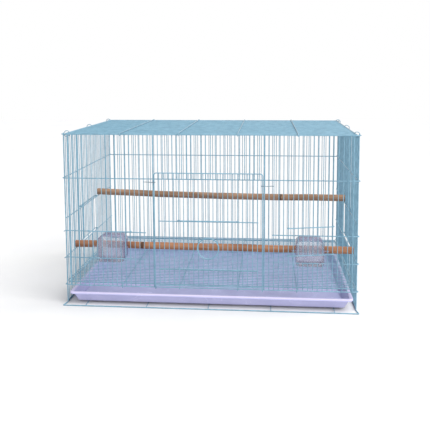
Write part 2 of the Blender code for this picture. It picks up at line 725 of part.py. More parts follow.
def feeder_cup(name, side):
    """Clear hooded cup: a rounded sleeve, closed at the front and up to its rim at the back."""
    x_mid = side * FEEDER_U
    front = FRONT_Y + CUP_FRONT
    back = FRONT_Y + CUP_BACK
    half = CUP_WIDTH / 2
    sleeve = [cup_outline(0), cup_outline(CUP_WALL)]
    body = extruded(name + "_sleeve", sleeve, front, back, x_mid)
    wall = cup_outline(WELD)
    below_rim = [(x, z) for x, z in wall if z < CUP_RIM_Z]
    rim = [(half - WELD, CUP_RIM_Z), (-half + WELD, CUP_RIM_Z)]
    walls = []
    for word, outline, start in (
        ("front", wall, front + WELD),
        ("back", rim + below_rim, back - WELD - CUP_WALL),
    ):
        walls.append(extruded(f"{name}_{word}", [outline], start, start + CUP_WALL, x_mid))
    ear_half = half + CUP_EAR
    ears = box(
        name + "_ears",
        (x_mid - ear_half, front + 2 * WELD, CUP_RIM_Z - CUP_WALL),
        (x_mid + ear_half, front + 2 * WELD + CUP_WALL, CUP_RIM_Z + CUP_WALL),
    )
    tabs = []
    tab_low = FEEDER_LOW_Z - RAIL_WIRE
    tab_under = FEEDER_LOW_Z + RAIL_WIRE / 2 + GAP
    tab_back = FRONT_Y - BAR_WIRE / 2
    for bays in (-CUP_TAB_BAYS, CUP_TAB_BAYS):
        x = x_mid + bays * FRONT_PITCH
        left = x - CUP_TAB / 2
        right = x + CUP_TAB / 2
        arm = box(
            name + "_tab_arm",
            (left, tab_back, tab_under),
            (right, front + CUP_WALL, tab_under + CUP_WALL),
        )
        hook = box(
            name + "_tab_hook",
            (left + WELD, tab_back - WELD, tab_low),
            (right - WELD, tab_back - WELD + CUP_HOOK, tab_under + CUP_WALL / 2),
        )
        tabs += [arm, hook]
    made = finish(name, body, CLEAR_PLASTIC, walls + [ears] + tabs)
    return set_axis(made, Vector((x_mid, front, CUP_LOW_Z)))


def hang(item, holder):
    """Parents a part to the part that carries it, with its place in the world kept."""
    item.location -= holder.location
    item.parent = holder


def build():
    front_panel()
    back_panel()
    side_panel("left_side_panel", LEFT)
    side_panel("right_side_panel", RIGHT)
    mat("top_panel", TOP_Z, bars_above=False)
    mat("floor_grate", FLOOR_Z, bars_above=True)
    base_frame()
    top_loops()
    door = front_door()
    small = lift_door(
        "small_door", DOOR, 0, SMALL_WIDTH, SMALL_BAYS, SMALL_LOW_Z, SMALL_HIGH_Z
    )
    ring = door_ring()
    feeder = (FEEDER_WIDTH, FEEDER_BAYS, FEEDER_LOW_Z, FEEDER_HIGH_Z)
    lift_door("left_feeder_door", FRONT, -FEEDER_U, *feeder)
    lift_door("right_feeder_door", FRONT, FEEDER_U, *feeder, RAISED, RAISED_SLOPE)
    nest = (NEST_U, NEST_WIDTH, NEST_BAYS, NEST_LOW_Z, NEST_HIGH_Z)
    lift_door("left_nest_door", LEFT, *nest)
    lift_door("right_nest_door", RIGHT, *nest)
    left = latch("left_latch", -1, LEFT_LATCH_Z)
    right = latch("right_latch", 1, RIGHT_LATCH_Z)
    tray()
    perch("upper_perch", UPPER_PERCH_BARS, NEST_HIGH_Z)
    lower_bars = (LOWER_PERCH_BAR + LOWER_PERCH_SLANT, LOWER_PERCH_BAR)
    perch("lower_perch", lower_bars, NEST_LOW_Z)
    feeder_cup("left_feeder_cup", -1)
    feeder_cup("right_feeder_cup", 1)
    hang(ring, small)
    for item in (small, left, right):
        hang(item, door)


build()
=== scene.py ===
"""Looks of a knock-down wire bird cage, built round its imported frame.

Every wire is swept as a round rod by Geometry Nodes and carries weld beads where it crosses
another.  The tray, the perches and the feeder cups are meshes of their own.  Places come from
the frame, and the wire gauges are the real cage's.
"""

import json
import logging
import math
from dataclasses import dataclass
from enum import Enum
from typing import Iterable, Sequence

import bmesh
import bpy
from mathutils import Matrix, Vector, noise


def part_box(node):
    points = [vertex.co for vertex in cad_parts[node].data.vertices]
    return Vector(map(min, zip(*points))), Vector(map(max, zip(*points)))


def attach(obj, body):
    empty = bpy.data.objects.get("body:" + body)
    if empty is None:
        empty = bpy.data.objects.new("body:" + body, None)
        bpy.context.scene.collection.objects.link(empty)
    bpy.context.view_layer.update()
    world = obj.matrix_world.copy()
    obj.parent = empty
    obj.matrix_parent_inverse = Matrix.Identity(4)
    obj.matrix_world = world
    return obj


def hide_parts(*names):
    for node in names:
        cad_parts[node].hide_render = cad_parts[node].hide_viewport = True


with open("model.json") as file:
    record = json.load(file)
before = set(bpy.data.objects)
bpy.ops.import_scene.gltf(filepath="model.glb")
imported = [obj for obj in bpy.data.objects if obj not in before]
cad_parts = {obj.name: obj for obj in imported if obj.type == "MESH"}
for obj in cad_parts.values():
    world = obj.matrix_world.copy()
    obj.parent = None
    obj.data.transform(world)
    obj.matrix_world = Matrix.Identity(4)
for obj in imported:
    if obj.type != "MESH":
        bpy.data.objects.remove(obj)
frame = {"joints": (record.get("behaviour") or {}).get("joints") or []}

LOG = logging.getLogger("bird_cage")

Colour = tuple[float, float, float]
Path = list[Vector]


# ---------------------------------------------------------------------------- node trees


class TreeMaker:
    """Adds nodes to a node tree, sets them and links them."""

    def __init__(self, tree: bpy.types.NodeTree) -> None:
        """Args:
        tree: the tree that gets the nodes.
        """
        self.tree = tree

    def add(self, kind: str, feeds: dict | None = None, **settings: object) -> bpy.types.Node:
        """Adds one node.

        Args:
            kind: Blender's name for the node's type.
            feeds: for each input, by name or index, the socket or the plain value it gets.
            settings: the node's own properties.

        Returns:
            The new node.
        """
        node = self.tree.nodes.new(kind)
        node.location.x = 180 * len(self.tree.nodes)
        for name, value in settings.items():
            setattr(node, name, value)
        for key, value in (feeds or {}).items():
            socket = node.inputs[key]
            if isinstance(value, bpy.types.NodeSocket):
                self.tree.links.new(value, socket)
            else:
                socket.default_value = value
        return node

    def sockets(self, way: str, wanted: dict[str, str]) -> None:
        """Gives a group its sockets.

        Args:
            way: INPUT or OUTPUT.
            wanted: each socket's name and its type, without the NodeSocket in front.
        """
        for name, kind in wanted.items():
            self.tree.interface.new_socket(name, in_out=way, socket_type="NodeSocket" + kind)


def new_tree(name: str, kind: str, inputs: dict[str, str], outputs: dict[str, str]) -> TreeMaker:
    """Starts a node group with named sockets.

    Args:
        name: the group's name.
        kind: GeometryNodeTree or ShaderNodeTree.
        inputs: input names and socket types.
        outputs: output names and socket types.

    Returns:
        A maker for the group's tree.
    """
    maker = TreeMaker(bpy.data.node_groups.new(name, kind))
    maker.sockets("INPUT", inputs)
    maker.sockets("OUTPUT", outputs)
    return maker


def run_tree(
    name: str, mesh: bpy.types.Mesh, tree: bpy.types.NodeTree, values: dict[str, object]
) -> bpy.types.Mesh:
    """Runs a Geometry Nodes tree on a mesh and returns the plain result.

    Args:
        name: the result's name.
        mesh: the mesh that the tree starts from.
        tree: the geometry tree.
        values: the tree's inputs by name.

    Returns:
        The baked mesh.
    """
    item = bpy.data.objects.new(name, mesh)
    bpy.context.scene.collection.objects.link(item)
    modifier = item.modifiers.new("shape", "NODES")
    modifier.node_group = tree
    for socket in tree.interface.items_tree:
        if socket.item_type == "SOCKET" and socket.in_out == "INPUT" and socket.name in values:
            modifier[socket.identifier] = values[socket.name]
    graph = bpy.context.evaluated_depsgraph_get()
    baked = bpy.data.meshes.new_from_object(item.evaluated_get(graph))
    bpy.data.objects.remove(item)
    bpy.data.meshes.remove(mesh)
    return baked


@dataclass(frozen=True)
class WireTrees:
    """The three geometry trees that all wirework is made with."""

    bar_row: bpy.types.NodeTree
    bent_wire: bpy.types.NodeTree
    weld_beads: bpy.types.NodeTree

    @classmethod
    def build(cls) -> "WireTrees":
        """Builds the trees."""
        return cls(cls._bar_row(), cls._bent_wire(), cls._weld_beads())

    @staticmethod
    def _finish(maker: TreeMaker, shape: bpy.types.NodeSocket, look: bpy.types.NodeSocket) -> None:
        """Ends a tree in real, smooth faces with their material.

        Args:
            maker: the tree's maker.
            shape: the geometry to put out.
            look: the material input.
        """
        real = maker.add("GeometryNodeRealizeInstances", {"Geometry": shape})
        smooth = maker.add("GeometryNodeSetShadeSmooth", {"Geometry": real.outputs[0]})
        dressed = maker.add(
            "GeometryNodeSetMaterial", {"Geometry": smooth.outputs[0], "Material": look}
        )
        maker.add("NodeGroupOutput", {"Geometry": dressed.outputs[0]})

    @classmethod
    def _bar_row(cls) -> bpy.types.NodeTree:
        """Straight round bars, equally spaced."""
        maker = new_tree(
            "bar_row",
            "GeometryNodeTree",
            {
                "Geometry": "Geometry",
                "Start": "Vector",
                "Step": "Vector",
                "Span": "Vector",
                "Count": "Int",
                "Radius": "Float",
                "Sides": "Int",
                "Material": "Material",
            },
            {"Geometry": "Geometry"},
        )
        given = maker.add("NodeGroupInput").outputs
        places = maker.add(
            "GeometryNodeMeshLine",
            {"Count": given["Count"], "Start Location": given["Start"], "Offset": given["Step"]},
            mode="OFFSET",
        )
        line = maker.add("GeometryNodeCurvePrimitiveLine", {"End": given["Span"]})
        ring = maker.add(
            "GeometryNodeCurvePrimitiveCircle",
            {"Resolution": given["Sides"], "Radius": given["Radius"]},
        )
        bar = maker.add(
            "GeometryNodeCurveToMesh",
            {"Curve": line.outputs[0], "Profile Curve": ring.outputs[0], "Fill Caps": True},
        )
        bars = maker.add(
            "GeometryNodeInstanceOnPoints",
            {"Points": places.outputs[0], "Instance": bar.outputs[0]},
        )
        cls._finish(maker, bars.outputs[0], given["Material"])
        return maker.tree

    @classmethod
    def _bent_wire(cls) -> bpy.types.NodeTree:
        """Round wire along a path of straight stretches, with rounded bends."""
        maker = new_tree(
            "bent_wire",
            "GeometryNodeTree",
            {
                "Geometry": "Geometry",
                "Bend Radius": "Float",
                "Bend Points": "Int",
                "Radius": "Float",
                "Sides": "Int",
                "Material": "Material",
            },
            {"Geometry": "Geometry"},
        )
        given = maker.add("NodeGroupInput").outputs
        path = maker.add("GeometryNodeMeshToCurve", {"Mesh": given["Geometry"]})
        rounded = maker.add(
            "GeometryNodeFilletCurve",
            {
                "Curve": path.outputs[0],
                "Count": given["Bend Points"],
                "Radius": given["Bend Radius"],
                "Limit Radius": True,
            },
            mode="POLY",
        )
        ring = maker.add(
            "GeometryNodeCurvePrimitiveCircle",
            {"Resolution": given["Sides"], "Radius": given["Radius"]},
        )
        wire = maker.add(
            "GeometryNodeCurveToMesh",
            {"Curve": rounded.outputs[0], "Profile Curve": ring.outputs[0], "Fill Caps": True},
        )
        cls._finish(maker, wire.outputs[0], given["Material"])
        return maker.tree

    @classmethod
    def _weld_beads(cls) -> bpy.types.NodeTree:
        """A small bead at each point of a mesh."""
        maker = new_tree(
            "weld_beads",
            "GeometryNodeTree",
            {
                "Geometry": "Geometry",
                "Radii": "Vector",
                "Uneven": "Float",
                "Seed": "Int",
                "Material": "Material",
            },
            {"Geometry": "Geometry"},
        )
        given = maker.add("NodeGroupInput").outputs
        ball = maker.add("GeometryNodeMeshUVSphere", {"Segments": 8, "Rings": 4, "Radius": 1.0})
        least = maker.add("ShaderNodeMath", {0: 1.0, 1: given["Uneven"]}, operation="SUBTRACT")
        most = maker.add("ShaderNodeMath", {0: 1.0, 1: given["Uneven"]}, operation="ADD")
        pick = maker.add(
            "FunctionNodeRandomValue",
            {"Min": least.outputs[0], "Max": most.outputs[0], "Seed": given["Seed"]},
            data_type="FLOAT",
        )
        size = maker.add(
            "ShaderNodeVectorMath", {0: given["Radii"], "Scale": pick.outputs[1]}, operation="SCALE"
        )
        beads = maker.add(
            "GeometryNodeInstanceOnPoints",
            {
                "Points": given["Geometry"],
                "Instance": ball.outputs[0],
                "Scale": size.outputs[0],
            },
        )
        cls._finish(maker, beads.outputs[0], given["Material"])
        return maker.tree


# -------------------------------------------------------------------------------- finishes


class Slot(Enum):
    """The record's material slots."""

    COATED = "coated_wire"
    BRIGHT = "bright_wire"
    TRAY = "tray_plastic"
    CLEAR = "clear_plastic"
    WOOD = "perch_wood"


@dataclass(frozen=True)
class ShaderGroups:
    """Effects that several finishes share."""

    mottle: bpy.types.NodeTree
    grain_bump: bpy.types.NodeTree
    dust: bpy.types.NodeTree
    scuffs: bpy.types.NodeTree

    @classmethod
    def build(cls) -> "ShaderGroups":
        """Builds the groups."""
        return cls(cls._mottle(), cls._grain_bump(), cls._dust(), cls._scuffs())

    @staticmethod
    def _mottle() -> bpy.types.NodeTree:
        """Soft clouds between two colours."""
        maker = new_tree(
            "mottle",
            "ShaderNodeTree",
            {"Vector": "Vector", "Scale": "Float", "Low": "Color", "High": "Color"},
            {"Color": "Color", "Value": "Float"},
        )
        given = maker.add("NodeGroupInput").outputs
        clouds = maker.add(
            "ShaderNodeTexNoise",
            {"Vector": given["Vector"], "Scale": given["Scale"], "Detail": 4.0, "Roughness": 0.6},
        )
        spread = maker.add(
            "ShaderNodeMapRange",
            {"Value": clouds.outputs[0], "From Min": 0.32, "From Max": 0.68},
            interpolation_type="SMOOTHSTEP",
        )
        mixed = maker.add(
            "ShaderNodeMix",
            {0: spread.outputs[0], 6: given["Low"], 7: given["High"]},
            data_type="RGBA",
        )
        maker.add("NodeGroupOutput", {"Color": mixed.outputs[2], "Value": spread.outputs[0]})
        return maker.tree

    @staticmethod
    def _grain_bump() -> bpy.types.NodeTree:
        """Fine surface unevenness as a normal."""
        maker = new_tree(
            "grain_bump",
            "ShaderNodeTree",
            {"Vector": "Vector", "Scale": "Float", "Strength": "Float", "Height": "Float"},
            {"Normal": "Vector"},
        )
        given = maker.add("NodeGroupInput").outputs
        grains = maker.add(
            "ShaderNodeTexNoise",
            {"Vector": given["Vector"], "Scale": given["Scale"], "Detail": 3.0},
        )
        bump = maker.add(
            "ShaderNodeBump",
            {
                "Strength": given["Strength"],
                "Distance": given["Height"],
                "Height": grains.outputs[0],
            },
        )
        maker.add("NodeGroupOutput", {"Normal": bump.outputs[0]})
        return maker.tree

    @staticmethod
    def _dust() -> bpy.types.NodeTree:
        """Dust that settles in patches on what faces up."""
        maker = new_tree(
            "dust", "ShaderNodeTree", {"Vector": "Vector", "Amount": "Float"}, {"Mask": "Float"}
        )
        given = maker.add("NodeGroupInput").outputs
        facing = maker.add("ShaderNodeSeparateXYZ", {0: maker.add("ShaderNodeNewGeometry").outputs[1]})
        upward = maker.add(
            "ShaderNodeMapRange",
            {"Value": facing.outputs[2], "From Min": 0.3, "From Max": 0.95},
            interpolation_type="SMOOTHSTEP",
        )
        patches = maker.add(
            "ShaderNodeTexNoise", {"Vector": given["Vector"], "Scale": 45.0, "Detail": 5.0}
        )
        patchy = maker.add(
            "ShaderNodeMath", {0: upward.outputs[0], 1: patches.outputs[0]}, operation="MULTIPLY"
        )
        mask = maker.add(
            "ShaderNodeMath", {0: patchy.outputs[0], 1: given["Amount"]}, operation="MULTIPLY"
        )
        maker.add("NodeGroupOutput", {"Mask": mask.outputs[0]})
        return maker.tree

    @staticmethod
    def _scuffs() -> bpy.types.NodeTree:
        """Thin scuff lines in broken patches, where the piece is rubbed."""
        maker = new_tree(
            "scuffs",
            "ShaderNodeTree",
            {"Vector": "Vector", "Scale": "Float", "Amount": "Float"},
            {"Mask": "Float"},
        )
        given = maker.add("NodeGroupInput").outputs
        stretched = maker.add(
            "ShaderNodeMapping",
            {"Vector": given["Vector"], "Rotation": (0.3, 0.2, 0.7), "Scale": (1.0, 9.0, 3.0)},
        )
        lines = maker.add(
            "ShaderNodeTexVoronoi",
            {"Vector": stretched.outputs[0], "Scale": given["Scale"]},
            feature="DISTANCE_TO_EDGE",
        )
        thin = maker.add(
            "ShaderNodeMapRange",
            {"Value": lines.outputs[0], "From Min": 0.0, "From Max": 0.03, "To Min": 1.0, "To Max": 0.0},
        )
        breaks = maker.add(
            "ShaderNodeTexNoise", {"Vector": given["Vector"], "Scale": 30.0, "Detail": 3.0}
        )
        patches = maker.add(
            "ShaderNodeMapRange",
            {"Value": breaks.outputs[0], "From Min": 0.5, "From Max": 0.7},
            interpolation_type="SMOOTHSTEP",
        )
        broken = maker.add(
            "ShaderNodeMath", {0: thin.outputs[0], 1: patches.outputs[0]}, operation="MULTIPLY"
        )
        mask = maker.add(
            "ShaderNodeMath", {0: broken.outputs[0], 1: given["Amount"]}, operation="MULTIPLY"
        )
        maker.add("NodeGroupOutput", {"Mask": mask.outputs[0]})
        return maker.tree


class Surface:
    """A material in the making: its Principled shader and the coordinates patterns use."""

    def __init__(self, name: str, groups: ShaderGroups) -> None:
        """Args:
        name: the material's name.
        groups: the shared effects.
        """
        self.material = bpy.data.materials.new(name)
        self.material.use_nodes = True
        self.make = TreeMaker(self.material.node_tree)
        self.shader = self.material.node_tree.nodes["Principled BSDF"]
        self.place = self.make.add("ShaderNodeTexCoord").outputs["Object"]
        self.groups = groups

    def effect(self, group: bpy.types.NodeTree, feeds: dict) -> bpy.types.Node:
        """Places a shared effect.

        Args:
            group: one of the shader groups.
            feeds: its inputs, apart from Vector, which is the object's coordinates if left out.

        Returns:
            The group node.
        """
        node = self.material.node_tree.nodes.new("ShaderNodeGroup")
        node.node_tree = group
        for key, value in {"Vector": self.place, **feeds}.items():
            if isinstance(value, bpy.types.NodeSocket):
                self.make.tree.links.new(value, node.inputs[key])
            else:
                node.inputs[key].default_value = value
        return node

    def blend(
        self, share: bpy.types.NodeSocket, low: object, high: object
    ) -> bpy.types.NodeSocket:
        """Mixes two colours.

        Args:
            share: the mask that brings in the second colour.
            low: first colour, or the socket that gives it.
            high: second colour, or the socket that gives it.

        Returns:
            The mixed colour's socket.
        """
        return self.make.add("ShaderNodeMix", {0: share, 6: low, 7: high}, data_type="RGBA").outputs[2]

    def between(self, value: bpy.types.NodeSocket, low: float, high: float) -> bpy.types.NodeSocket:
        """Spreads a 0 to 1 value between two numbers."""
        return self.make.add(
            "ShaderNodeMapRange", {"Value": value, "To Min": low, "To Max": high}
        ).outputs[0]

    def wire(self, feeds: dict[str, object]) -> bpy.types.Material:
        """Feeds the shader and returns the material.

        Args:
            feeds: the shader's inputs by name, as sockets or plain values.

        Returns:
            The finished material.
        """
        for key, value in feeds.items():
            if isinstance(value, bpy.types.NodeSocket):
                self.make.tree.links.new(value, self.shader.inputs[key])
            else:
                self.shader.inputs[key].default_value = value
        return self.material


def rgba(colour: Colour) -> tuple[float, float, float, float]:
    """A colour with full alpha."""
    return (*colour, 1.0)


@dataclass(frozen=True)
class CoatedWire:
    """Dipped blue coating on steel wire, a little uneven, with dust on top."""

    name: str = "blue_wire_coating"
    thin: Colour = (0.118, 0.255, 0.345)
    thick: Colour = (0.172, 0.335, 0.440)
    dust: Colour = (0.36, 0.47, 0.54)
    dust_amount: float = 0.30
    rust: Colour = (0.08, 0.10, 0.11)

    def build(self, groups: ShaderGroups) -> bpy.types.Material:
        """Builds the material."""
        surface = Surface(self.name, groups)
        coat = surface.effect(
            groups.mottle, {"Scale": 60.0, "Low": rgba(self.thin), "High": rgba(self.thick)}
        )
        dust = surface.effect(groups.dust, {"Amount": self.dust_amount})
        chips = surface.effect(groups.scuffs, {"Scale": 160.0, "Amount": 0.35})
        dusty = surface.blend(dust.outputs[0], coat.outputs["Color"], rgba(self.dust))
        chipped = surface.blend(chips.outputs[0], dusty, rgba(self.rust))
        grain = surface.effect(groups.grain_bump, {"Scale": 900.0, "Strength": 0.25, "Height": 0.0002})
        return surface.wire(
            {
                "Base Color": chipped,
                "Roughness": surface.between(coat.outputs["Value"], 0.42, 0.30),
                "Normal": grain.outputs[0],
                "Coat Weight": 0.35,
                "Coat Roughness": 0.12,
            }
        )


@dataclass(frozen=True)
class BrightWire:
    """Galvanised wire with grey spangle."""

    name: str = "galvanised_wire"
    dull: Colour = (0.10, 0.16, 0.20)
    bright: Colour = (0.24, 0.32, 0.38)

    def build(self, groups: ShaderGroups) -> bpy.types.Material:
        """Builds the material."""
        surface = Surface(self.name, groups)
        spangle = surface.effect(
            groups.mottle, {"Scale": 420.0, "Low": rgba(self.dull), "High": rgba(self.bright)}
        )
        grain = surface.effect(groups.grain_bump, {"Scale": 1500.0, "Strength": 0.2, "Height": 0.0001})
        return surface.wire(
            {
                "Base Color": spangle.outputs["Color"],
                "Metallic": 0.75,
                "Roughness": surface.between(spangle.outputs["Value"], 0.45, 0.28),
                "Normal": grain.outputs[0],
            }
        )


@dataclass(frozen=True)
class TrayPlastic:
    """Lavender moulded plastic, paler and pinker along the rim, partly as a painted highlight on the rolled rim,
    with scuffs.
    """

    rim_z: float
    name: str = "lavender_plastic"
    low: Colour = (0.415, 0.415, 0.650)
    high: Colour = (0.465, 0.460, 0.700)
    rim: Colour = (0.560, 0.515, 0.730)
    scuff: Colour = (0.66, 0.65, 0.82)

    def build(self, groups: ShaderGroups) -> bpy.types.Material:
        """Builds the material."""
        surface = Surface(self.name, groups)
        body = surface.effect(
            groups.mottle, {"Scale": 14.0, "Low": rgba(self.low), "High": rgba(self.high)}
        )
        height = surface.make.add("ShaderNodeSeparateXYZ", {0: surface.place}).outputs[2]
        # Paler, pinker band just under the rim's height: partly a pinker tone of the plastic, partly a painted
        # highlight on the rolled rim.
        rim_highlight_mask = surface.make.add(
            "ShaderNodeMapRange",
            {"Value": height, "From Min": self.rim_z - 0.004, "From Max": self.rim_z - 0.0005},
            interpolation_type="SMOOTHSTEP",
        )
        rim_highlighted = surface.blend(rim_highlight_mask.outputs[0], body.outputs["Color"], rgba(self.rim))
        scuffs = surface.effect(groups.scuffs, {"Scale": 26.0, "Amount": 0.45})
        scuffed = surface.blend(scuffs.outputs[0], rim_highlighted, rgba(self.scuff))
        grain = surface.effect(groups.grain_bump, {"Scale": 700.0, "Strength": 0.12, "Height": 0.0002})
        return surface.wire(
            {
                "Base Color": scuffed,
                "Roughness": surface.between(scuffs.outputs[0], 0.26, 0.5),
                "Normal": grain.outputs[0],
                "Specular IOR Level": 0.45,
                "Coat Weight": 0.15,
                "Coat Roughness": 0.2,
            }
        )


@dataclass(frozen=True)
class ClearPlastic:
    """Thin clear moulding: a grey violet tint that darkens towards the edges, partly as thicker tint and partly as
    painted shade for the dark edges that refraction gives, with scuffs.
    """

    name: str = "clear_plastic_moulding"
    low: Colour = (0.40, 0.39, 0.50)
    high: Colour = (0.58, 0.58, 0.68)
    rim: Colour = (0.10, 0.08, 0.20)
    scuff: Colour = (0.75, 0.76, 0.80)
    clear: float = 0.22
    edge: float = 0.90

    def build(self, groups: ShaderGroups) -> bpy.types.Material:
        """Builds the material."""
        surface = Surface(self.name, groups)
        tint = surface.effect(
            groups.mottle, {"Scale": 35.0, "Low": rgba(self.low), "High": rgba(self.high)}
        )
        scuffs = surface.effect(groups.scuffs, {"Scale": 60.0, "Amount": 0.4})
        facing = surface.make.add("ShaderNodeLayerWeight", {"Blend": 0.5}).outputs["Facing"]
        # Dark violet towards the silhouette: partly thicker tint through the slanted wall, partly painted shade
        # standing in for the dark edges that refraction gives.
        edge_shaded = surface.blend(facing, tint.outputs["Color"], rgba(self.rim))
        colour = surface.blend(scuffs.outputs[0], edge_shaded, rgba(self.scuff))
        body = surface.between(facing, self.clear, self.edge)
        alpha = surface.make.add(
            "ShaderNodeMath", {0: body, 1: scuffs.outputs[0]}, operation="MAXIMUM"
        )
        flow = surface.effect(groups.grain_bump, {"Scale": 60.0, "Strength": 0.08, "Height": 0.0003})
        return surface.wire(
            {
                "Base Color": colour,
                "Roughness": surface.between(scuffs.outputs[0], 0.07, 0.35),
                "Normal": flow.outputs[0],
                "Alpha": alpha.outputs[0],
                "IOR": 1.5,
            }
        )


@dataclass(frozen=True)
class PerchWood:
    """Turned dowel: long grain, darker bands, small knots and pores."""

    name: str
    pale: Colour
    dark: Colour
    knot: Colour
    knots_at: tuple[float, ...]

    def build(self, groups: ShaderGroups) -> bpy.types.Material:
        """Builds the material."""
        surface = Surface(self.name, groups)
        make = surface.make
        along = make.add("ShaderNodeMapping", {"Vector": surface.place, "Scale": (4.0, 90.0, 90.0)})
        fibres = make.add(
            "ShaderNodeTexNoise",
            {"Vector": along.outputs[0], "Scale": 1.6, "Detail": 6.0, "Distortion": 0.6},
        )
        grain = make.add(
            "ShaderNodeMapRange", {"Value": fibres.outputs[0], "From Min": 0.3, "From Max": 0.7}
        )
        figure = surface.blend(grain.outputs[0], rgba(self.dark), rgba(self.pale))
        weathered = surface.effect(
            groups.mottle, {"Scale": 11.0, "Low": rgba(self.dark), "High": rgba(self.pale)}
        )
        half_and_half = make.add(
            "ShaderNodeMix", {0: 0.45, 6: figure, 7: weathered.outputs["Color"]}, data_type="RGBA"
        )
        axes = make.add("ShaderNodeSeparateXYZ", {0: surface.place})
        colour = half_and_half.outputs[2]
        for place in self.knots_at:
            away = make.add("ShaderNodeMath", {0: axes.outputs[0], 1: place}, operation="SUBTRACT")
            apart = make.add("ShaderNodeMath", {0: away.outputs[0]}, operation="ABSOLUTE")
            wobble = make.add(
                "ShaderNodeTexNoise", {"Vector": surface.place, "Scale": 130.0, "Detail": 3.0}
            )
            reach = surface.between(wobble.outputs[0], 0.001, 0.012)
            near = make.add(
                "ShaderNodeMath", {0: reach, 1: apart.outputs[0]}, operation="SUBTRACT"
            )
            mask = make.add(
                "ShaderNodeMapRange",
                {"Value": near.outputs[0], "From Min": 0.0, "From Max": 0.004, "To Max": 0.85},
                interpolation_type="SMOOTHSTEP",
            )
            colour = surface.blend(mask.outputs[0], colour, rgba(self.knot))
        pores = make.add(
            "ShaderNodeTexNoise", {"Vector": along.outputs[0], "Scale": 9.0, "Detail": 4.0}
        )
        relief = make.add(
            "ShaderNodeBump", {"Strength": 0.5, "Distance": 0.0004, "Height": pores.outputs[0]}
        )
        return surface.wire(
            {
                "Base Color": colour,
                "Roughness": surface.between(fibres.outputs[0], 0.75, 0.5),
                "Normal": relief.outputs[0],
                "Specular IOR Level": 0.3,
            }
        )


# ------------------------------------------------------------------------- sizes and places


@dataclass(frozen=True)
class WireGauge:
    """Diameters of the cage's wires and the room between them, in metres."""

    bar: float = 0.0020
    rail: float = 0.0026
    post: float = 0.0032
    mat_end: float = 0.0038
    base: float = 0.0030
    loop: float = 0.0018
    gap: float = 0.0003
    sink: float = 0.0006

    @property
    def rail_set(self) -> float:
        """How far a middle rail lies behind the bars."""
        return self.bar / 2 + self.gap + self.rail / 2

    @property
    def rail_step(self) -> float:
        """From a rail to the next wire that lies on it."""
        return self.rail + self.gap


@dataclass(frozen=True)
class Plane:
    """An upright plane: u runs along it, w points out of the cage and z is the height."""

    x: float
    y: float
    along: tuple[float, float]
    outward: tuple[float, float]

    def at(self, u: float, w: float, z: float) -> Vector:
        """The point at u, w and z."""
        return Vector(
            (
                self.x + self.along[0] * u + self.outward[0] * w,
                self.y + self.along[1] * u + self.outward[1] * w,
                z,
            )
        )


@dataclass(frozen=True)
class CagePlaces:
    """The cage's main planes and heights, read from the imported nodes."""

    gauge: WireGauge
    half_width: float
    front_y: float
    back_y: float
    middle_y: float
    post_span: float
    top_z: float
    floor_z: float
    base_z: float
    front_bays: int = 61
    side_bays: int = 36
    belt_z: float = 0.338
    side_foot_z: float = 0.060
    hook_run: float = 0.008

    @classmethod
    def read(cls, gauge: WireGauge) -> "CagePlaces":
        """Reads the places from the nodes' boxes.

        Args:
            gauge: the wire diameters.

        Returns:
            The places.
        """
        front_low, front_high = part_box("front_panel")
        back_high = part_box("back_panel")[1]
        side_low, side_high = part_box("right_side_panel")
        post = gauge.post
        return cls(
            gauge=gauge,
            half_width=side_high.x - post / 2,
            front_y=front_low.y + post / 2,
            back_y=back_high.y - post / 2,
            middle_y=(side_low.y + side_high.y) / 2,
            post_span=side_high.y - side_low.y - post,
            top_z=front_high.z - gauge.rail / 2,
            floor_z=front_low.z + gauge.rail / 2,
            base_z=side_low.z + gauge.rail / 2,
        )

    @property
    def front_pitch(self) -> float:
        """Spacing of the front and back bars."""
        return 2 * self.half_width / self.front_bays

    @property
    def side_pitch(self) -> float:
        """Spacing of the end bars, the top bars and the floor bars."""
        return self.post_span / self.side_bays

    @property
    def post_set(self) -> float:
        """How far the corner posts stand behind the front bars."""
        return (self.back_y - self.front_y - self.post_span) / 2

    @property
    def hook_radius(self) -> float:
        """Radius of the rails' hooks round the corner posts."""
        return self.post_set - self.gauge.rail_set

    @property
    def front(self) -> Plane:
        """The front bars' plane."""
        return Plane(0.0, self.front_y, (1.0, 0.0), (0.0, -1.0))

    @property
    def back(self) -> Plane:
        """The back bars' plane."""
        return Plane(0.0, self.back_y, (1.0, 0.0), (0.0, 1.0))

    def end(self, side: int) -> Plane:
        """An end panel's plane; side is -1 on the left and 1 on the right."""
        return Plane(side * self.half_width, self.middle_y, (0.0, 1.0), (float(side), 0.0))

    def front_u(self, bay: float, side: int = -1) -> float:
        """Place of a front or back bar, counted in bays from one corner."""
        return side * (self.half_width - bay * self.front_pitch)

    def side_u(self, bay: float) -> float:
        """Place of an end panel's bar."""
        return -self.post_span / 2 + bay * self.side_pitch


@dataclass(frozen=True)
class Opening:
    """The heights of the two rails round a lift door's opening."""

    low_z: float
    high_z: float

    @classmethod
    def behind(cls, node: str, gauge: WireGauge) -> "Opening":
        """Reads an opening from the lift door that rests on its lower rail.

        Args:
            node: the lift door's node.
            gauge: the wire diameters.

        Returns:
            The opening.
        """
        low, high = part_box(node)
        rest_z = low.z + gauge.rail / 2
        height = high.z - low.z - gauge.rail
        return cls(rest_z - gauge.rail_step, rest_z - gauge.rail_step + height)


def curl(centre: tuple[float, float], radius: float, first: float, last: float) -> list:
    """Corners of a path that turns round a centre once its bends are rounded.

    Args:
        centre: the centre, as a pair.
        radius: radius of the rounded path.
        first: starting angle in degrees.
        last: end angle in degrees.

    Returns:
        Pairs: the first point on the circle, the corners outside it and the last point on it.
    """
    steps = math.ceil(abs(last - first) / 90)
    half = math.radians(last - first) / steps / 2
    start = math.radians(first)
    stops = [(start, radius)]
    stops += [(start + (2 * k + 1) * half, radius / math.cos(half)) for k in range(steps)]
    stops.append((math.radians(last), radius))
    return [(centre[0] + r * math.cos(t), centre[1] + r * math.sin(t)) for t, r in stops]


# --------------------------------------------------------------------------------- wirework


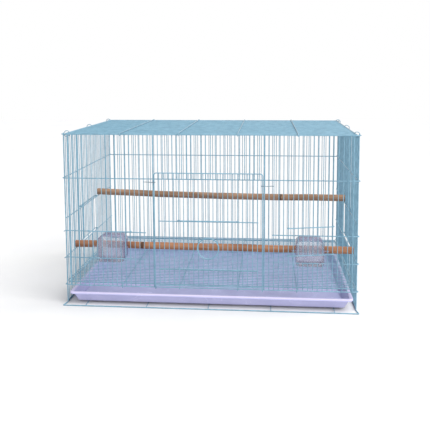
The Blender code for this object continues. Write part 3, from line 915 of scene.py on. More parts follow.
@dataclass(frozen=True)
class Workshop:
    """What every sub-assembly needs: places, trees and finishes."""

    places: CagePlaces
    trees: WireTrees
    finishes: dict[Slot, bpy.types.Material]

    @property
    def gauge(self) -> WireGauge:
        """The wire diameters."""
        return self.places.gauge


class WirePiece:
    """One welded or bent piece of wirework, collected wire by wire."""

    def __init__(self, shop: Workshop, node: str, look: Slot = Slot.COATED) -> None:
        """Args:
        shop: places, trees and finishes.
        node: the CAD node that the piece stands for.
        look: the piece's finish.
        """
        self.shop = shop
        self.node = node
        self.look = look
        self.parts: list[bpy.types.Mesh] = []

    def _run(
        self, tree: bpy.types.NodeTree, points: Sequence[Vector], edges: list, values: dict
    ) -> None:
        """Runs one of the wire trees on loose points and edges and keeps the result."""
        mesh = bpy.data.meshes.new(self.node + "_path")
        mesh.from_pydata([tuple(point) for point in points], edges, [])
        values["Material"] = self.shop.finishes[self.look]
        self.parts.append(run_tree(self.node, mesh, tree, values))

    def row(self, start: Vector, step: Vector, span: Vector, count: int, diameter: float) -> None:
        """Adds equally spaced straight bars.

        Args:
            start: lower end of the first bar.
            step: from one bar to the next.
            span: from a bar's lower end to its upper end.
            count: how many bars.
            diameter: the bars' diameter.
        """
        values = {
            "Start": start,
            "Step": step,
            "Span": span,
            "Count": count,
            "Radius": diameter / 2,
            "Sides": 12,
        }
        self._run(self.shop.trees.bar_row, [Vector()], [], values)

    def bend(
        self,
        paths: Iterable[Path],
        diameter: float,
        radius: float,
        closed: bool = False,
        bend_points: int = 8,
    ) -> None:
        """Adds wires along paths.

        Args:
            paths: each wire's corners.
            diameter: the wires' diameter.
            radius: largest radius of a bend.
            closed: whether each path's end meets its start.
            bend_points: points round each bend.
        """
        points: Path = []
        edges = []
        for path in paths:
            first = len(points)
            points += path
            edges += [(k, k + 1) for k in range(first, len(points) - 1)]
            if closed:
                edges.append((len(points) - 1, first))
        values = {
            "Bend Radius": radius,
            "Bend Points": bend_points,
            "Radius": diameter / 2,
            "Sides": 12,
        }
        self._run(self.shop.trees.bent_wire, points, edges, values)

    def beads(self, places: Sequence[Vector], radii: tuple[float, float, float]) -> None:
        """Adds a weld bead at each place.

        Args:
            places: the beads' centres.
            radii: the beads' half sizes along X, Y and Z.
        """
        values = {"Radii": radii, "Uneven": 0.12, "Seed": len(self.parts)}
        self._run(self.shop.trees.weld_beads, places, [], values)

    def finish(self, body: str) -> bpy.types.Object:
        """Joins the wires and lets them ride in place of their node.

        Args:
            body: the CAD body that carries the piece.

        Returns:
            The finished piece.
        """
        work = bmesh.new()
        for part in self.parts:
            work.from_mesh(part)
            bpy.data.meshes.remove(part)
        mesh = bpy.data.meshes.new(self.node + "_wire")
        work.to_mesh(mesh)
        work.free()
        mesh.materials.append(self.shop.finishes[self.look])
        mesh.set_sharp_from_angle(angle=math.radians(50))
        return show(mesh, body, self.look, self.node)


def show(mesh: bpy.types.Mesh, body: str, look: Slot, *nodes: str) -> bpy.types.Object:
    """Puts a finished mesh in the scene as a piece.

    Args:
        mesh: the piece's mesh, in the row frame.
        body: the CAD body that carries it.
        look: the record's slot for its finish; not used.
        nodes: the CAD nodes it stands for.

    Returns:
        The piece.
    """
    piece = bpy.data.objects.new(mesh.name, mesh)
    bpy.context.scene.collection.objects.link(piece)
    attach(piece, body)
    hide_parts(*nodes)
    LOG.info("%s rides on %s with %d faces", piece.name, body, len(mesh.polygons))
    return piece


class WallPanel:
    """What the front panel, the back panel and the end panels share."""

    def __init__(self, shop: Workshop, node: str, plane: Plane) -> None:
        """Args:
        shop: places, trees and finishes.
        node: the panel's node.
        plane: the plane that its bars stand in.
        """
        self.shop = shop
        self.plane = plane
        self.wire = WirePiece(shop, node)

    def bars(self, first_u: float, pitch: float, count: int, low: float, high: float, w: float = 0.0,
             diameter: float | None = None) -> None:
        """Adds a row of upright bars.

        Args:
            first_u: place of the first bar.
            pitch: from a bar to the next, along u.
            count: how many bars.
            low: height of the lower ends.
            high: height of the upper ends.
            w: how far out of the plane the bars stand.
            diameter: the bars' diameter, or None for the common one.
        """
        start = self.plane.at(first_u, w, low)
        step = self.plane.at(first_u + pitch, w, low) - start
        span = Vector((0.0, 0.0, high - low))
        self.wire.row(start, step, span, count, diameter or self.shop.gauge.bar)

    def weld_across(self, places: Sequence[float], z: float, w: float) -> None:
        """Adds beads where bars cross a rail, or end in it if it lies in their plane.

        Args:
            places: the bars' places along u.
            z: the rail's height.
            w: how far out of the plane the rail lies.
        """
        gauge = self.shop.gauge
        if w < 0:
            centres = [self.plane.at(u, (w + gauge.rail / 2 - gauge.bar / 2) / 2, z) for u in places]
            self.wire.beads(centres, (0.0011, 0.0011, 0.0010))
        else:
            inward = math.copysign(gauge.rail / 2, self.shop.places.belt_z - z)
            centres = [self.plane.at(u, w, z + inward) for u in places]
            self.wire.beads(centres, (0.0014, 0.0014, 0.0009))


def hooked_rail(places: CagePlaces, plane: Plane, z: float, w: float, ends: tuple[int, ...]) -> Path:
    """A rail that hooks round a corner post.

    Args:
        places: the cage's places.
        plane: the panel's plane.
        z: the rail's height.
        w: how far out of the plane the rail lies.
        ends: -1 and 1 for a hook at the left and at the right.

    Returns:
        The rail's corners.
    """
    turns = curl((places.half_width, -places.post_set), places.hook_radius, 90, -90)
    if w > -places.gauge.rail_set:
        turns.insert(0, (places.half_width - places.hook_run, w))
        turns.insert(0, (0.0, w))
    path: Path = []
    if -1 in ends:
        path += [plane.at(-u, out, z) for u, out in reversed(turns[1:])]
    if 1 in ends:
        path += [plane.at(u, out, z) for u, out in turns[1:]]
    return path


@dataclass(frozen=True)
class FrontPanel:
    """Front panel, open in the middle for the door and at each side for a feeder cup."""

    door_post_bay: int = 19
    feeder_post_bay: int = 5
    feeder_bays: int = 9
    feeder_rail_bays: float = 17.3

    def build(self, shop: Workshop) -> bpy.types.Object:
        """Builds the panel."""
        places, gauge = shop.places, shop.gauge
        feeder = Opening.behind("left_feeder_door", gauge)
        panel = WallPanel(shop, "front_panel", places.front)
        floor, top, pitch = places.floor_z, places.top_z, places.front_pitch
        cut_first = self.feeder_post_bay + 2
        cut_last = self.feeder_post_bay + self.feeder_bays - 2
        welds_full: list[float] = []
        for side in (-1, 1):
            step = -side * pitch
            for first, last in ((2, cut_first - 1), (cut_last + 1, self.door_post_bay - 1)):
                panel.bars(places.front_u(first, side), step, last - first + 1, floor, top)
                welds_full += [places.front_u(bay, side) for bay in range(first, last + 1)]
            count = cut_last - cut_first + 1
            start = places.front_u(cut_first, side)
            panel.bars(start, step, count, floor, feeder.low_z, -gauge.sink)
            panel.bars(start, step, count, feeder.high_z, top, -gauge.sink)
            for bay in (1, self.door_post_bay):
                u = places.front_u(bay, side)
                panel.bars(u, step, 1, floor, top, diameter=gauge.post)
        across = places.front_bays - 2 * self.door_post_bay - 1
        middle_u = places.front_u(self.door_post_bay + 1)
        panel.bars(middle_u, pitch, across, places.belt_z, top, -gauge.sink)
        rails = [
            hooked_rail(places, places.front, top, 0.0, (-1, 1)),
            hooked_rail(places, places.front, floor, 0.0, (-1, 1)),
            hooked_rail(places, places.front, places.belt_z, -gauge.rail_set, (-1, 1)),
        ]
        for side in (-1, 1):
            inner = places.front_u(self.feeder_rail_bays, side)
            for z in (feeder.high_z, feeder.low_z):
                hook = hooked_rail(places, places.front, z, -gauge.rail_set, (side,))
                rails.append([places.front.at(inner, -gauge.rail_set, z)] + hook)
        panel.wire.bend(rails, gauge.rail, places.post_set)
        self._weld(panel, places, feeder, welds_full)
        return panel.wire.finish("cage")

    def _weld(
        self, panel: WallPanel, places: CagePlaces, feeder: Opening, full: list[float]
    ) -> None:
        """Adds the weld beads.

        Args:
            panel: the panel being built.
            places: the cage's places.
            feeder: heights of the feeder opening.
            full: places of the bars that run from the floor rail to the top rail.
        """
        behind = -panel.shop.gauge.rail_set
        all_bars = [places.front_u(bay) for bay in range(1, places.front_bays)]
        panel.weld_across(all_bars, places.top_z, 0.0)
        panel.weld_across(full, places.belt_z, behind)
        outer = [u for u in all_bars if abs(u) >= abs(places.front_u(self.door_post_bay)) - 0.001]
        panel.weld_across(outer, places.floor_z, 0.0)
        reach = places.front_u(self.feeder_rail_bays)
        for z in (feeder.low_z, feeder.high_z):
            panel.weld_across([u for u in full if abs(u) > abs(reach)], z, behind)


@dataclass(frozen=True)
class BackPanel:
    """Back panel, closed from the top to the base."""

    def build(self, shop: Workshop) -> bpy.types.Object:
        """Builds the panel."""
        places, gauge = shop.places, shop.gauge
        panel = WallPanel(shop, "back_panel", places.back)
        bottom = places.base_z + gauge.rail_step
        last = places.front_bays - 1
        panel.bars(places.front_u(2), places.front_pitch, last - 2, bottom, places.top_z)
        for bay in (1, last):
            u = places.front_u(bay)
            panel.bars(u, places.front_pitch, 1, bottom, places.top_z, diameter=gauge.post)
        levels = (
            (places.top_z, 0.0),
            (bottom, 0.0),
            (places.belt_z, -gauge.rail_set),
            (places.floor_z, -gauge.rail_set),
        )
        rails = [hooked_rail(places, places.back, z, w, (-1, 1)) for z, w in levels]
        panel.wire.bend(rails, gauge.rail, places.post_set)
        fine = [places.front_u(bay) for bay in range(2, last)]
        for z, w in levels:
            panel.weld_across(fine, z, w)
        return panel.wire.finish("cage")


@dataclass(frozen=True)
class EndPanel:
    """End panel with its two corner posts, open behind the nest box door."""

    side: int
    nest_first_bay: int = 10
    nest_bays: int = 12

    @property
    def word(self) -> str:
        """Which end it is."""
        return "left" if self.side < 0 else "right"

    def build(self, shop: Workshop) -> bpy.types.Object:
        """Builds the panel."""
        places, gauge = shop.places, shop.gauge
        plane = places.end(self.side)
        nest = Opening.behind(self.word + "_nest_door", gauge)
        panel = WallPanel(shop, self.word + "_side_panel", plane)
        low, high, pitch = places.base_z, places.top_z - gauge.rail_step, places.side_pitch
        cut_first = self.nest_first_bay + 1
        cut_last = self.nest_first_bay + self.nest_bays - 1
        for first, last in ((1, cut_first - 1), (cut_last + 1, places.side_bays - 1)):
            panel.bars(places.side_u(first), pitch, last - first + 1, low, high)
        count = cut_last - cut_first + 1
        start = places.side_u(cut_first)
        panel.bars(start, pitch, count, low, nest.low_z, -gauge.sink)
        panel.bars(start, pitch, count, nest.high_z, high, -gauge.sink)
        post_top = places.top_z + gauge.rail
        posts = (places.side_u(0), places.side_u(places.side_bays))
        for u in posts:
            panel.bars(u, pitch, 1, low - gauge.sink, post_top, diameter=gauge.post)
        tip = (gauge.post / 2,) * 3
        panel.wire.beads([plane.at(u, 0.0, post_top - gauge.sink) for u in posts], tip)
        levels = (
            (low, 0.0),
            (places.side_foot_z, -gauge.rail_set),
            (nest.low_z, -gauge.rail_set),
            (nest.high_z, -gauge.rail_set),
            (places.belt_z + gauge.rail_step, -gauge.rail_set),
            (high, 0.0),
        )
        rails = [[plane.at(posts[0], w, z), plane.at(posts[1], w, z)] for z, w in levels]
        panel.wire.bend(rails, gauge.rail, gauge.rail)
        every = [places.side_u(bay) for bay in range(1, places.side_bays)]
        full = [u for u in every if not places.side_u(cut_first) - 0.001 < u < places.side_u(cut_last) + 0.001]
        for z, w in levels:
            panel.weld_across(full if w < 0 else every, z, w)
        return panel.wire.finish("cage")


@dataclass(frozen=True)
class Mat:
    """Lengthwise bars on cross wires that hook over the front and back rails."""

    node: str
    bars_above: bool
    crossings: int = 4

    def build(self, shop: Workshop) -> bpy.types.Object:
        """Builds the mat."""
        places, gauge = shop.places, shop.gauge
        low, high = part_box(self.node)
        rail_z = places.floor_z if self.bars_above else places.top_z
        eye = low.y + gauge.rail / 2
        radius = places.front_y - eye
        cross_z = rail_z + radius
        bar_z = cross_z + (gauge.rail_set if self.bars_above else -gauge.rail_set)
        end_x = high.x - gauge.mat_end / 2
        wire = WirePiece(shop, self.node)
        lines = [places.middle_y + places.side_u(bay) for bay in range(places.side_bays + 1)]
        span = Vector((2 * end_x, 0.0, 0.0))
        step = Vector((0.0, places.side_pitch, 0.0))
        wire.row(Vector((-end_x, lines[1], bar_z)), step, span, len(lines) - 2, gauge.bar)
        for y in (lines[0], lines[-1]):
            wire.row(Vector((-end_x, y, bar_z)), step, span, 1, gauge.post)
        across = Vector((0.0, lines[-1] - lines[0], 0.0))
        for x in (-end_x, end_x):
            wire.row(Vector((x, lines[0], bar_z)), step, across, 1, gauge.mat_end)
        corners = [Vector((x, y, bar_z)) for x in (-end_x, end_x) for y in (lines[0], lines[-1])]
        wire.beads(corners, (gauge.mat_end / 2,) * 3)
        back_rail_y = places.back_y - (gauge.rail_set if self.bars_above else 0.0)
        front_curl = curl((places.front_y, rail_z), radius, 225, 90)[:-1]
        back_curl = curl((back_rail_y, rail_z), radius, 90, -45)[1:]
        paths = []
        beads = []
        for part in range(1, self.crossings + 1):
            x = 2 * places.half_width * (part / (self.crossings + 1) - 0.5)
            paths.append([Vector((x, y, z)) for y, z in front_curl + back_curl])
            beads += [Vector((x, y, (bar_z + cross_z) / 2)) for y in lines]
        wire.bend(paths, gauge.rail, radius)
        wire.beads(beads, (0.0011, 0.0011, 0.0011))
        return wire.finish("cage")


@dataclass(frozen=True)
class BaseFrame:
    """Outline wire with flared front corners, and cross wires that carry the tray."""

    flare: float = 0.004
    end_bay: float = 0.057
    crossings: int = 5

    def build(self, shop: Workshop) -> bpy.types.Object:
        """Builds the base."""
        places, gauge = shop.places, shop.gauge
        low_z = gauge.base / 2
        front_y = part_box("base_frame")[0].y + gauge.base / 2
        side_x = places.half_width
        wire = WirePiece(shop, "base_frame")
        right = [(side_x + self.flare, front_y), (side_x, places.front_y), (side_x, places.back_y)]
        outline = right + [(-x, y) for x, y in reversed(right)]
        wire.bend([[Vector((x, y, low_z)) for x, y in outline]], gauge.base, gauge.base / 2, closed=True)
        cross_z = gauge.base + gauge.bar / 2 - gauge.gap
        step = 2 * (side_x - self.end_bay) / (self.crossings - 1)
        start = Vector((self.end_bay - side_x, front_y, cross_z))
        reach = Vector((0.0, places.back_y - front_y, 0.0))
        wire.row(start, Vector((step, 0.0, 0.0)), reach, self.crossings, gauge.bar)
        ends = [
            Vector((start.x + k * step, y, cross_z - gauge.bar / 2))
            for k in range(self.crossings)
            for y in (front_y, places.back_y)
        ]
        wire.beads(ends, (0.0015, 0.0013, 0.0011))
        return wire.finish("cage")


@dataclass(frozen=True)
class TopLoops:
    """Round wire loops that tie the top mat to the end panels."""

    def build(self, shop: Workshop) -> list[bpy.types.Object]:
        """Builds the six loops."""
        made = []
        for side in ("left", "right"):
            for place in ("front", "middle", "rear"):
                node = f"top_loop_{side}_{place}"
                low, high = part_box(node)
                middle = (low + high) / 2
                radius = (high.z - low.z - shop.gauge.loop) / 2
                turns = curl((middle.x, middle.z), radius, 0, 360)[1:-1]
                wire = WirePiece(shop, node)
                path = [Vector((x, middle.y, z)) for x, z in turns]
                wire.bend([path], shop.gauge.loop, radius, closed=True)
                made.append(wire.finish("cage"))
        return made


@dataclass(frozen=True)
class FrontDoor:
    """Drop-down door that turns on the front panel's floor rail."""

    bays: int = 22
    small_bays: int = 12
    corner: float = 0.006
    rail_end: float = 0.011
    lift: float = 0.0075

    def plane(self, shop: Workshop) -> Plane:
        """The plane that the door hangs in."""
        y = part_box("front_door")[0].y + shop.gauge.rail / 2
        return Plane(0.0, y, (1.0, 0.0), (0.0, -1.0))

    def build(self, shop: Workshop) -> bpy.types.Object:
        """Builds the door."""
        places, gauge = shop.places, shop.gauge
        box_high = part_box("front_door")[1]
        half = box_high.x - gauge.rail / 2
        top = box_high.z - gauge.rail / 2
        low = places.floor_z + self.lift
        door = self.plane(shop)
        set_out = places.front_y - door.y
        small = Opening.behind("small_door", gauge)
        panel = WallPanel(shop, "front_door", door)
        eye_radius = places.front_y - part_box("floor_grate")[0].y - gauge.rail / 2
        eye = curl((0.0, places.floor_z), eye_radius, -135, 0)
        corners = []
        for u in (-half, half):
            leg = [door.at(u, w - set_out, z) for w, z in eye]
            corners.append(leg + [door.at(u, 0.0, low), door.at(u, 0.0, top)])
        panel.wire.bend([corners[0] + corners[1][::-1]], gauge.rail, self.corner)
        panel.wire.bend([[door.at(-half, 0.0, low), door.at(half, 0.0, low)]], gauge.rail, gauge.rail)
        end = half - self.rail_end
        behind = -gauge.rail_set
        rails = [
            [door.at(-end, behind, z), door.at(end, behind, z)] for z in (small.low_z, small.high_z)
        ]
        panel.wire.bend(rails, gauge.rail, gauge.rail)
        pitch = 2 * half / self.bays
        first_guide = (self.bays - self.small_bays) // 2
        last_guide = first_guide + self.small_bays
        for first, last in ((1, first_guide), (last_guide, self.bays - 1)):
            panel.bars(-half + first * pitch, pitch, last - first + 1, low, top)
        count = self.small_bays - 1
        start = -half + (first_guide + 1) * pitch
        panel.bars(start, pitch, count, low, small.low_z, -gauge.sink)
        panel.bars(start, pitch, count, small.high_z, top, -gauge.sink)
        every = [-half + bay * pitch for bay in range(1, self.bays)]
        full = every[:first_guide] + every[last_guide - 1 :]
        panel.weld_across(every, top, 0.0)
        panel.weld_across(every, low, 0.0)
        for z in (small.low_z, small.high_z):
            panel.weld_across(full, z, behind)
        return panel.wire.finish("front_door")


@dataclass(frozen=True)
class LiftDoor:
    """Door that slides up its two guide bars, with a curl at each corner round a bar."""

    node: str
    body: str
    bays: int
    height: float
    slope: float = 0.0

    def build(self, shop: Workshop, plane: Plane) -> bpy.types.Object:
        """Builds the door in a plane."""
        gauge = shop.gauge
        low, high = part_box(self.node)
        middle = (low + high) / 2
        flat = Vector((plane.x, plane.y))
        along = Vector(plane.along)
        u_mid = (Vector((middle.x, middle.y)) - flat).dot(along)
        size = Vector((high.x - low.x, high.y - low.y))
        reach = abs(size.dot(along)) / 2
        edges = ((low.xy - flat).dot(plane.outward), (high.xy - flat).dot(plane.outward))
        out = max(edges) - gauge.rail / 2
        half = reach - out - gauge.rail / 2
        rest_z = middle.z - self.height / 2
        wire = WirePiece(shop, self.node)

        def place(u: float, w: float, z: float) -> Vector:
            """A point of the door, whose rails may slope while its bars stay upright."""
            return plane.at(u_mid + u, w, z + u * self.slope)

        turns = curl((half, 0.0), out, 90, -135)[1:]
        rails = []
        for z in (rest_z, rest_z + self.height):
            left = [place(-u, w, z) for u, w in turns]
            rails.append(left[::-1] + [place(u, w, z) for u, w in turns])
        wire.bend(rails, gauge.rail, out)
        pitch = 2 * half / self.bays
        start = place(pitch - half, out, rest_z)
        step = place(2 * pitch - half, out, rest_z) - start
        wire.row(start, step, Vector((0.0, 0.0, self.height)), self.bays - 1, gauge.bar)
        beads = [
            place(k * pitch - half, out, z)
            for k in range(1, self.bays)
            for z in (rest_z + gauge.rail / 2, rest_z + self.height - gauge.rail / 2)
        ]
        wire.beads(beads, (0.0014, 0.0014, 0.0009))
        return wire.finish(self.body)


@dataclass(frozen=True)
class DoorRing:
    """Round ring welded to the face of the small door."""

    wire: float = 0.0033

    def build(self, shop: Workshop) -> bpy.types.Object:
        """Builds the ring."""
        low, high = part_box("small_door_ring")
        middle = (low + high) / 2
        radius = (high.z - low.z - shop.gauge.bar) / 2
        turns = curl((middle.x, middle.z), radius, 0, 360)[1:-1]
        wire = WirePiece(shop, "small_door_ring")
        path = [Vector((x, middle.y, z)) for x, z in turns]
        wire.bend([path], self.wire, radius, closed=True, bend_points=18)
        return wire.finish("small_door")


@dataclass(frozen=True)
class Latch:
    """Wire latch that turns on the door's side wire, its arm along the front bars."""

    side: int
    reach: float = 0.027
    tip: float = 0.0018
    rise: float = 0.0036

    def build(self, shop: Workshop, door: Plane) -> bpy.types.Object:
        """Builds the latch in the door's plane."""
        gauge = shop.gauge
        word = "left" if self.side < 0 else "right"
        node = word + "_latch"
        joint = next(j for j in frame["joints"] if j["name"] == node + "_turn")
        pivot, z = abs(joint["pos_m"][0]), joint["pos_m"][2]
        radius = gauge.rail / 2 + gauge.gap + gauge.loop / 2 + gauge.sink
        rest_w = gauge.bar / 2 + gauge.gap + gauge.loop / 2 - (shop.places.front_y - door.y)
        path = curl((pivot, 0.0), radius, 360, 90)
        path += [(pivot + self.reach - self.tip, rest_w + gauge.gap)]
        path += [(pivot + self.reach, rest_w + self.rise)]
        wire = WirePiece(shop, node, Slot.BRIGHT)
        corners = [door.at(self.side * u, w, z) for u, w in path]
        wire.bend([corners], gauge.loop, radius)
        return wire.finish(node)


# --------------------------------------------------------------------------- moulded pieces


def rounded_ring(
    half_x: float, half_y: float, radius: float, steps: int = 6, low_radius: float | None = None
) -> list:
    """Corner arcs of a rounded rectangle.

    Args:
        half_x: half its width.
        half_y: half its height.
        radius: radius of its corners, or of the upper two.
        steps: straight pieces in each corner.
        low_radius: radius of the lower two corners, if they differ.

    Returns:
        Points as pairs, anticlockwise.
    """
    points = []
    radii = (radius, radius, low_radius or radius, low_radius or radius)
    for quarter, (sx, sy) in enumerate(((1, 1), (-1, 1), (-1, -1), (1, -1))):
        radius = radii[quarter]
        for k in range(steps + 1):
            angle = math.pi / 2 * (quarter + k / steps)
            x = sx * (half_x - radius) + radius * math.cos(angle)
            y = sy * (half_y - radius) + radius * math.sin(angle)
            points.append((x, y))
    return points


def loft(name: str, rings: Sequence[Sequence[Vector]], look: bpy.types.Material) -> bpy.types.Mesh:
    """A closed skin over rings of equally many points, capped at both ends.

    Args:
        name: the mesh's name.
        rings: the rings, in order.
        look: its material.

    Returns:
        The mesh, smooth shaded with sharp edges where it turns hard.
    """
    work = bmesh.new()
    rows = [[work.verts.new(point) for point in ring] for ring in rings]
    count = len(rows[0])
    for first, second in zip(rows, rows[1:]):
        for k in range(count):
            turn = (k + 1) % count
            work.faces.new((first[k], first[turn], second[turn], second[k]))
    work.faces.new(rows[0][::-1])
    work.faces.new(rows[-1])
    bmesh.ops.recalc_face_normals(work, faces=work.faces)
    mesh = bpy.data.meshes.new(name)
    work.to_mesh(mesh)
    work.free()
    mesh.materials.append(look)
    mesh.shade_smooth()
    mesh.set_sharp_from_angle(angle=math.radians(42))
    return mesh


@dataclass(frozen=True)
class Tray:
    """Shallow moulded tray with tapered walls, a rolled rim and a turned-down lip."""

    wall: float = 0.0022
    rim: float = 0.0081
    side_taper: float = 0.020
    front_taper: float = 0.013
    lip: float = 0.0051
    corner: float = 0.013
    floor_round: float = 0.004

    def build(self, shop: Workshop) -> bpy.types.Object:
        """Builds the tray."""
        low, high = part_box("tray")
        middle = (low + high) / 2
        half = (high - low) / 2
        top, foot = high.z, low.z
        rise = top - foot
        roll = self.wall * 0.7

        def ring(inset: float, z: float, slant: float = 0.0) -> Path:
            """A ring this far inside the rim's edge; slant is 0 at the mouth and 1 at the foot."""
            dx = inset + slant * (self.side_taper - self.rim)
            dy = inset + slant * (self.front_taper - self.rim)
            outline = rounded_ring(half.x - dx, half.y - dy, max(self.corner - inset, 0.005), 8)
            return [Vector((middle.x + x, middle.y + y, z)) for x, y in outline]

        def quarter(steps: int = 4) -> list[tuple[float, float]]:
            """Sine and cosine through a right angle."""
            angles = [math.pi / 2 * k / steps for k in range(steps + 1)]
            return [(math.sin(t), math.cos(t)) for t in angles]

        inner = self.rim + self.wall / 2
        floor_rings = [
            ring(inner + self.floor_round * slide, foot + self.wall + self.floor_round * (1 - drop), 1.0)
            for drop, slide in quarter()
        ]
        over_rim = [
            ring(inner - roll * (1 - drop), top - roll * (1 - slide), 0.0) for drop, slide in reversed(quarter(3))
        ]
        outer_roll = [
            ring(roll * (1 - slide), top - roll * (1 - drop), 0.0) for slide, drop in quarter(3)
        ]
        under = [
            ring(self.wall, top - self.lip),
            ring(self.wall, top - self.wall),
            ring(self.rim - self.wall / 2, top - self.wall),
            ring(self.rim - self.wall / 2, foot + self.floor_round, 1.0),
            ring(self.rim + self.floor_round * 0.3, foot + self.floor_round * 0.3, 1.0),
            ring(self.rim + self.floor_round, foot, 1.0),
        ]
        skin = floor_rings + over_rim + outer_roll + [ring(0.0, top - self.lip)] + under
        mesh = loft("tray_moulding", skin, shop.finishes[Slot.TRAY])
        return show(mesh, "tray", Slot.TRAY, "tray")


@dataclass(frozen=True)
class Perch:
    """Dowel that lies on the end panels' rails, with a slot at each end round a bar."""

    node: str
    finish: PerchWood
    bars: tuple[int, int]
    chamfer: float = 0.0015
    slot_gap: float = 0.0008
    rings: int = 90
    sides: int = 32
    dent: float = 0.0008
    sag: float = 0.0

    def build(self, shop: Workshop, groups: ShaderGroups) -> bpy.types.Object:
        """Builds the perch."""
        places, gauge = shop.places, shop.gauge
        low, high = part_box(self.node)
        z = (low.z + high.z) / 2
        radius = (high.z - low.z) / 2
        ends = [
            Vector((low.x, places.middle_y + places.side_u(self.bars[0]), z)),
            Vector((high.x, places.middle_y + places.side_u(self.bars[1]), z)),
        ]
        axis = (ends[1] - ends[0]).normalized()
        across = axis.cross(Vector((0.0, 0.0, 1.0))).normalized()
        length = (ends[1] - ends[0]).length
        stops = [(0.0, self.chamfer), (self.chamfer, 0.0)]
        inner = length - 2 * self.chamfer
        stops += [(self.chamfer + inner * k / self.rings, 0.0) for k in range(1, self.rings)]
        stops += [(length - self.chamfer, 0.0), (length, self.chamfer)]
        skin = []
        for along, cut in stops:
            ring = []
            for k in range(self.sides):
                angle = 2 * math.pi * k / self.sides
                out = across * math.cos(angle) + Vector((0.0, 0.0, 1.0)) * math.sin(angle)
                place = ends[0] + axis * along
                low_by = self.sag * math.sin(math.pi * along / length)
                waver = self.dent * noise.noise(Vector((place.x * 9, 3.0 * self.bars[0], 0.0)))
                uneven = noise.noise(Vector((place.x * 14, out.y * 1.3 + self.bars[0], out.z * 1.3)))
                thick = radius - cut - self.dent * (0.5 + 0.5 * uneven)
                ring.append(place + out * thick + Vector((0.0, 0.0, waver - low_by)))
            skin.append(ring)
        material = self.finish.build(groups)
        body = bpy.data.objects.new(self.node, loft(self.node + "_dowel", skin, material))
        bpy.context.scene.collection.objects.link(body)
        depth = abs(ends[1].x) - places.half_width + gauge.bar / 2 + gauge.sink + self.slot_gap
        for end, side in zip(ends, (-1, 1)):
            cutter = self._slot(end, side, depth, gauge.bar / 2 + self.slot_gap, radius)
            step = body.modifiers.new("slot", "BOOLEAN")
            step.operation = "DIFFERENCE"
            step.solver = "EXACT"
            step.object = cutter
        graph = bpy.context.evaluated_depsgraph_get()
        mesh = bpy.data.meshes.new_from_object(body.evaluated_get(graph))
        mesh.name = self.node + "_dowel_cut"
        for step in list(body.modifiers):
            bpy.data.objects.remove(step.object)
        bpy.data.objects.remove(body)
        mesh.set_sharp_from_angle(angle=math.radians(35))
        return show(mesh, self.node, Slot.WOOD, self.node)

    def _slot(
        self, end: Vector, side: int, depth: float, half: float, radius: float
    ) -> bpy.types.Object:
        """A cutter for one end's slot."""
        mesh = bpy.data.meshes.new(self.node + "_slot")
        work = bmesh.new()
        bmesh.ops.create_cube(work, size=1.0)
        bmesh.ops.scale(work, vec=(2 * depth, 2 * half, 4 * radius), verts=work.verts)
        bmesh.ops.translate(work, vec=end, verts=work.verts)
        work.to_mesh(mesh)
        work.free()
        cutter = bpy.data.objects.new(self.node + "_slot", mesh)
        bpy.context.scene.collection.objects.link(cutter)
        cutter.hide_render = True
        return cutter


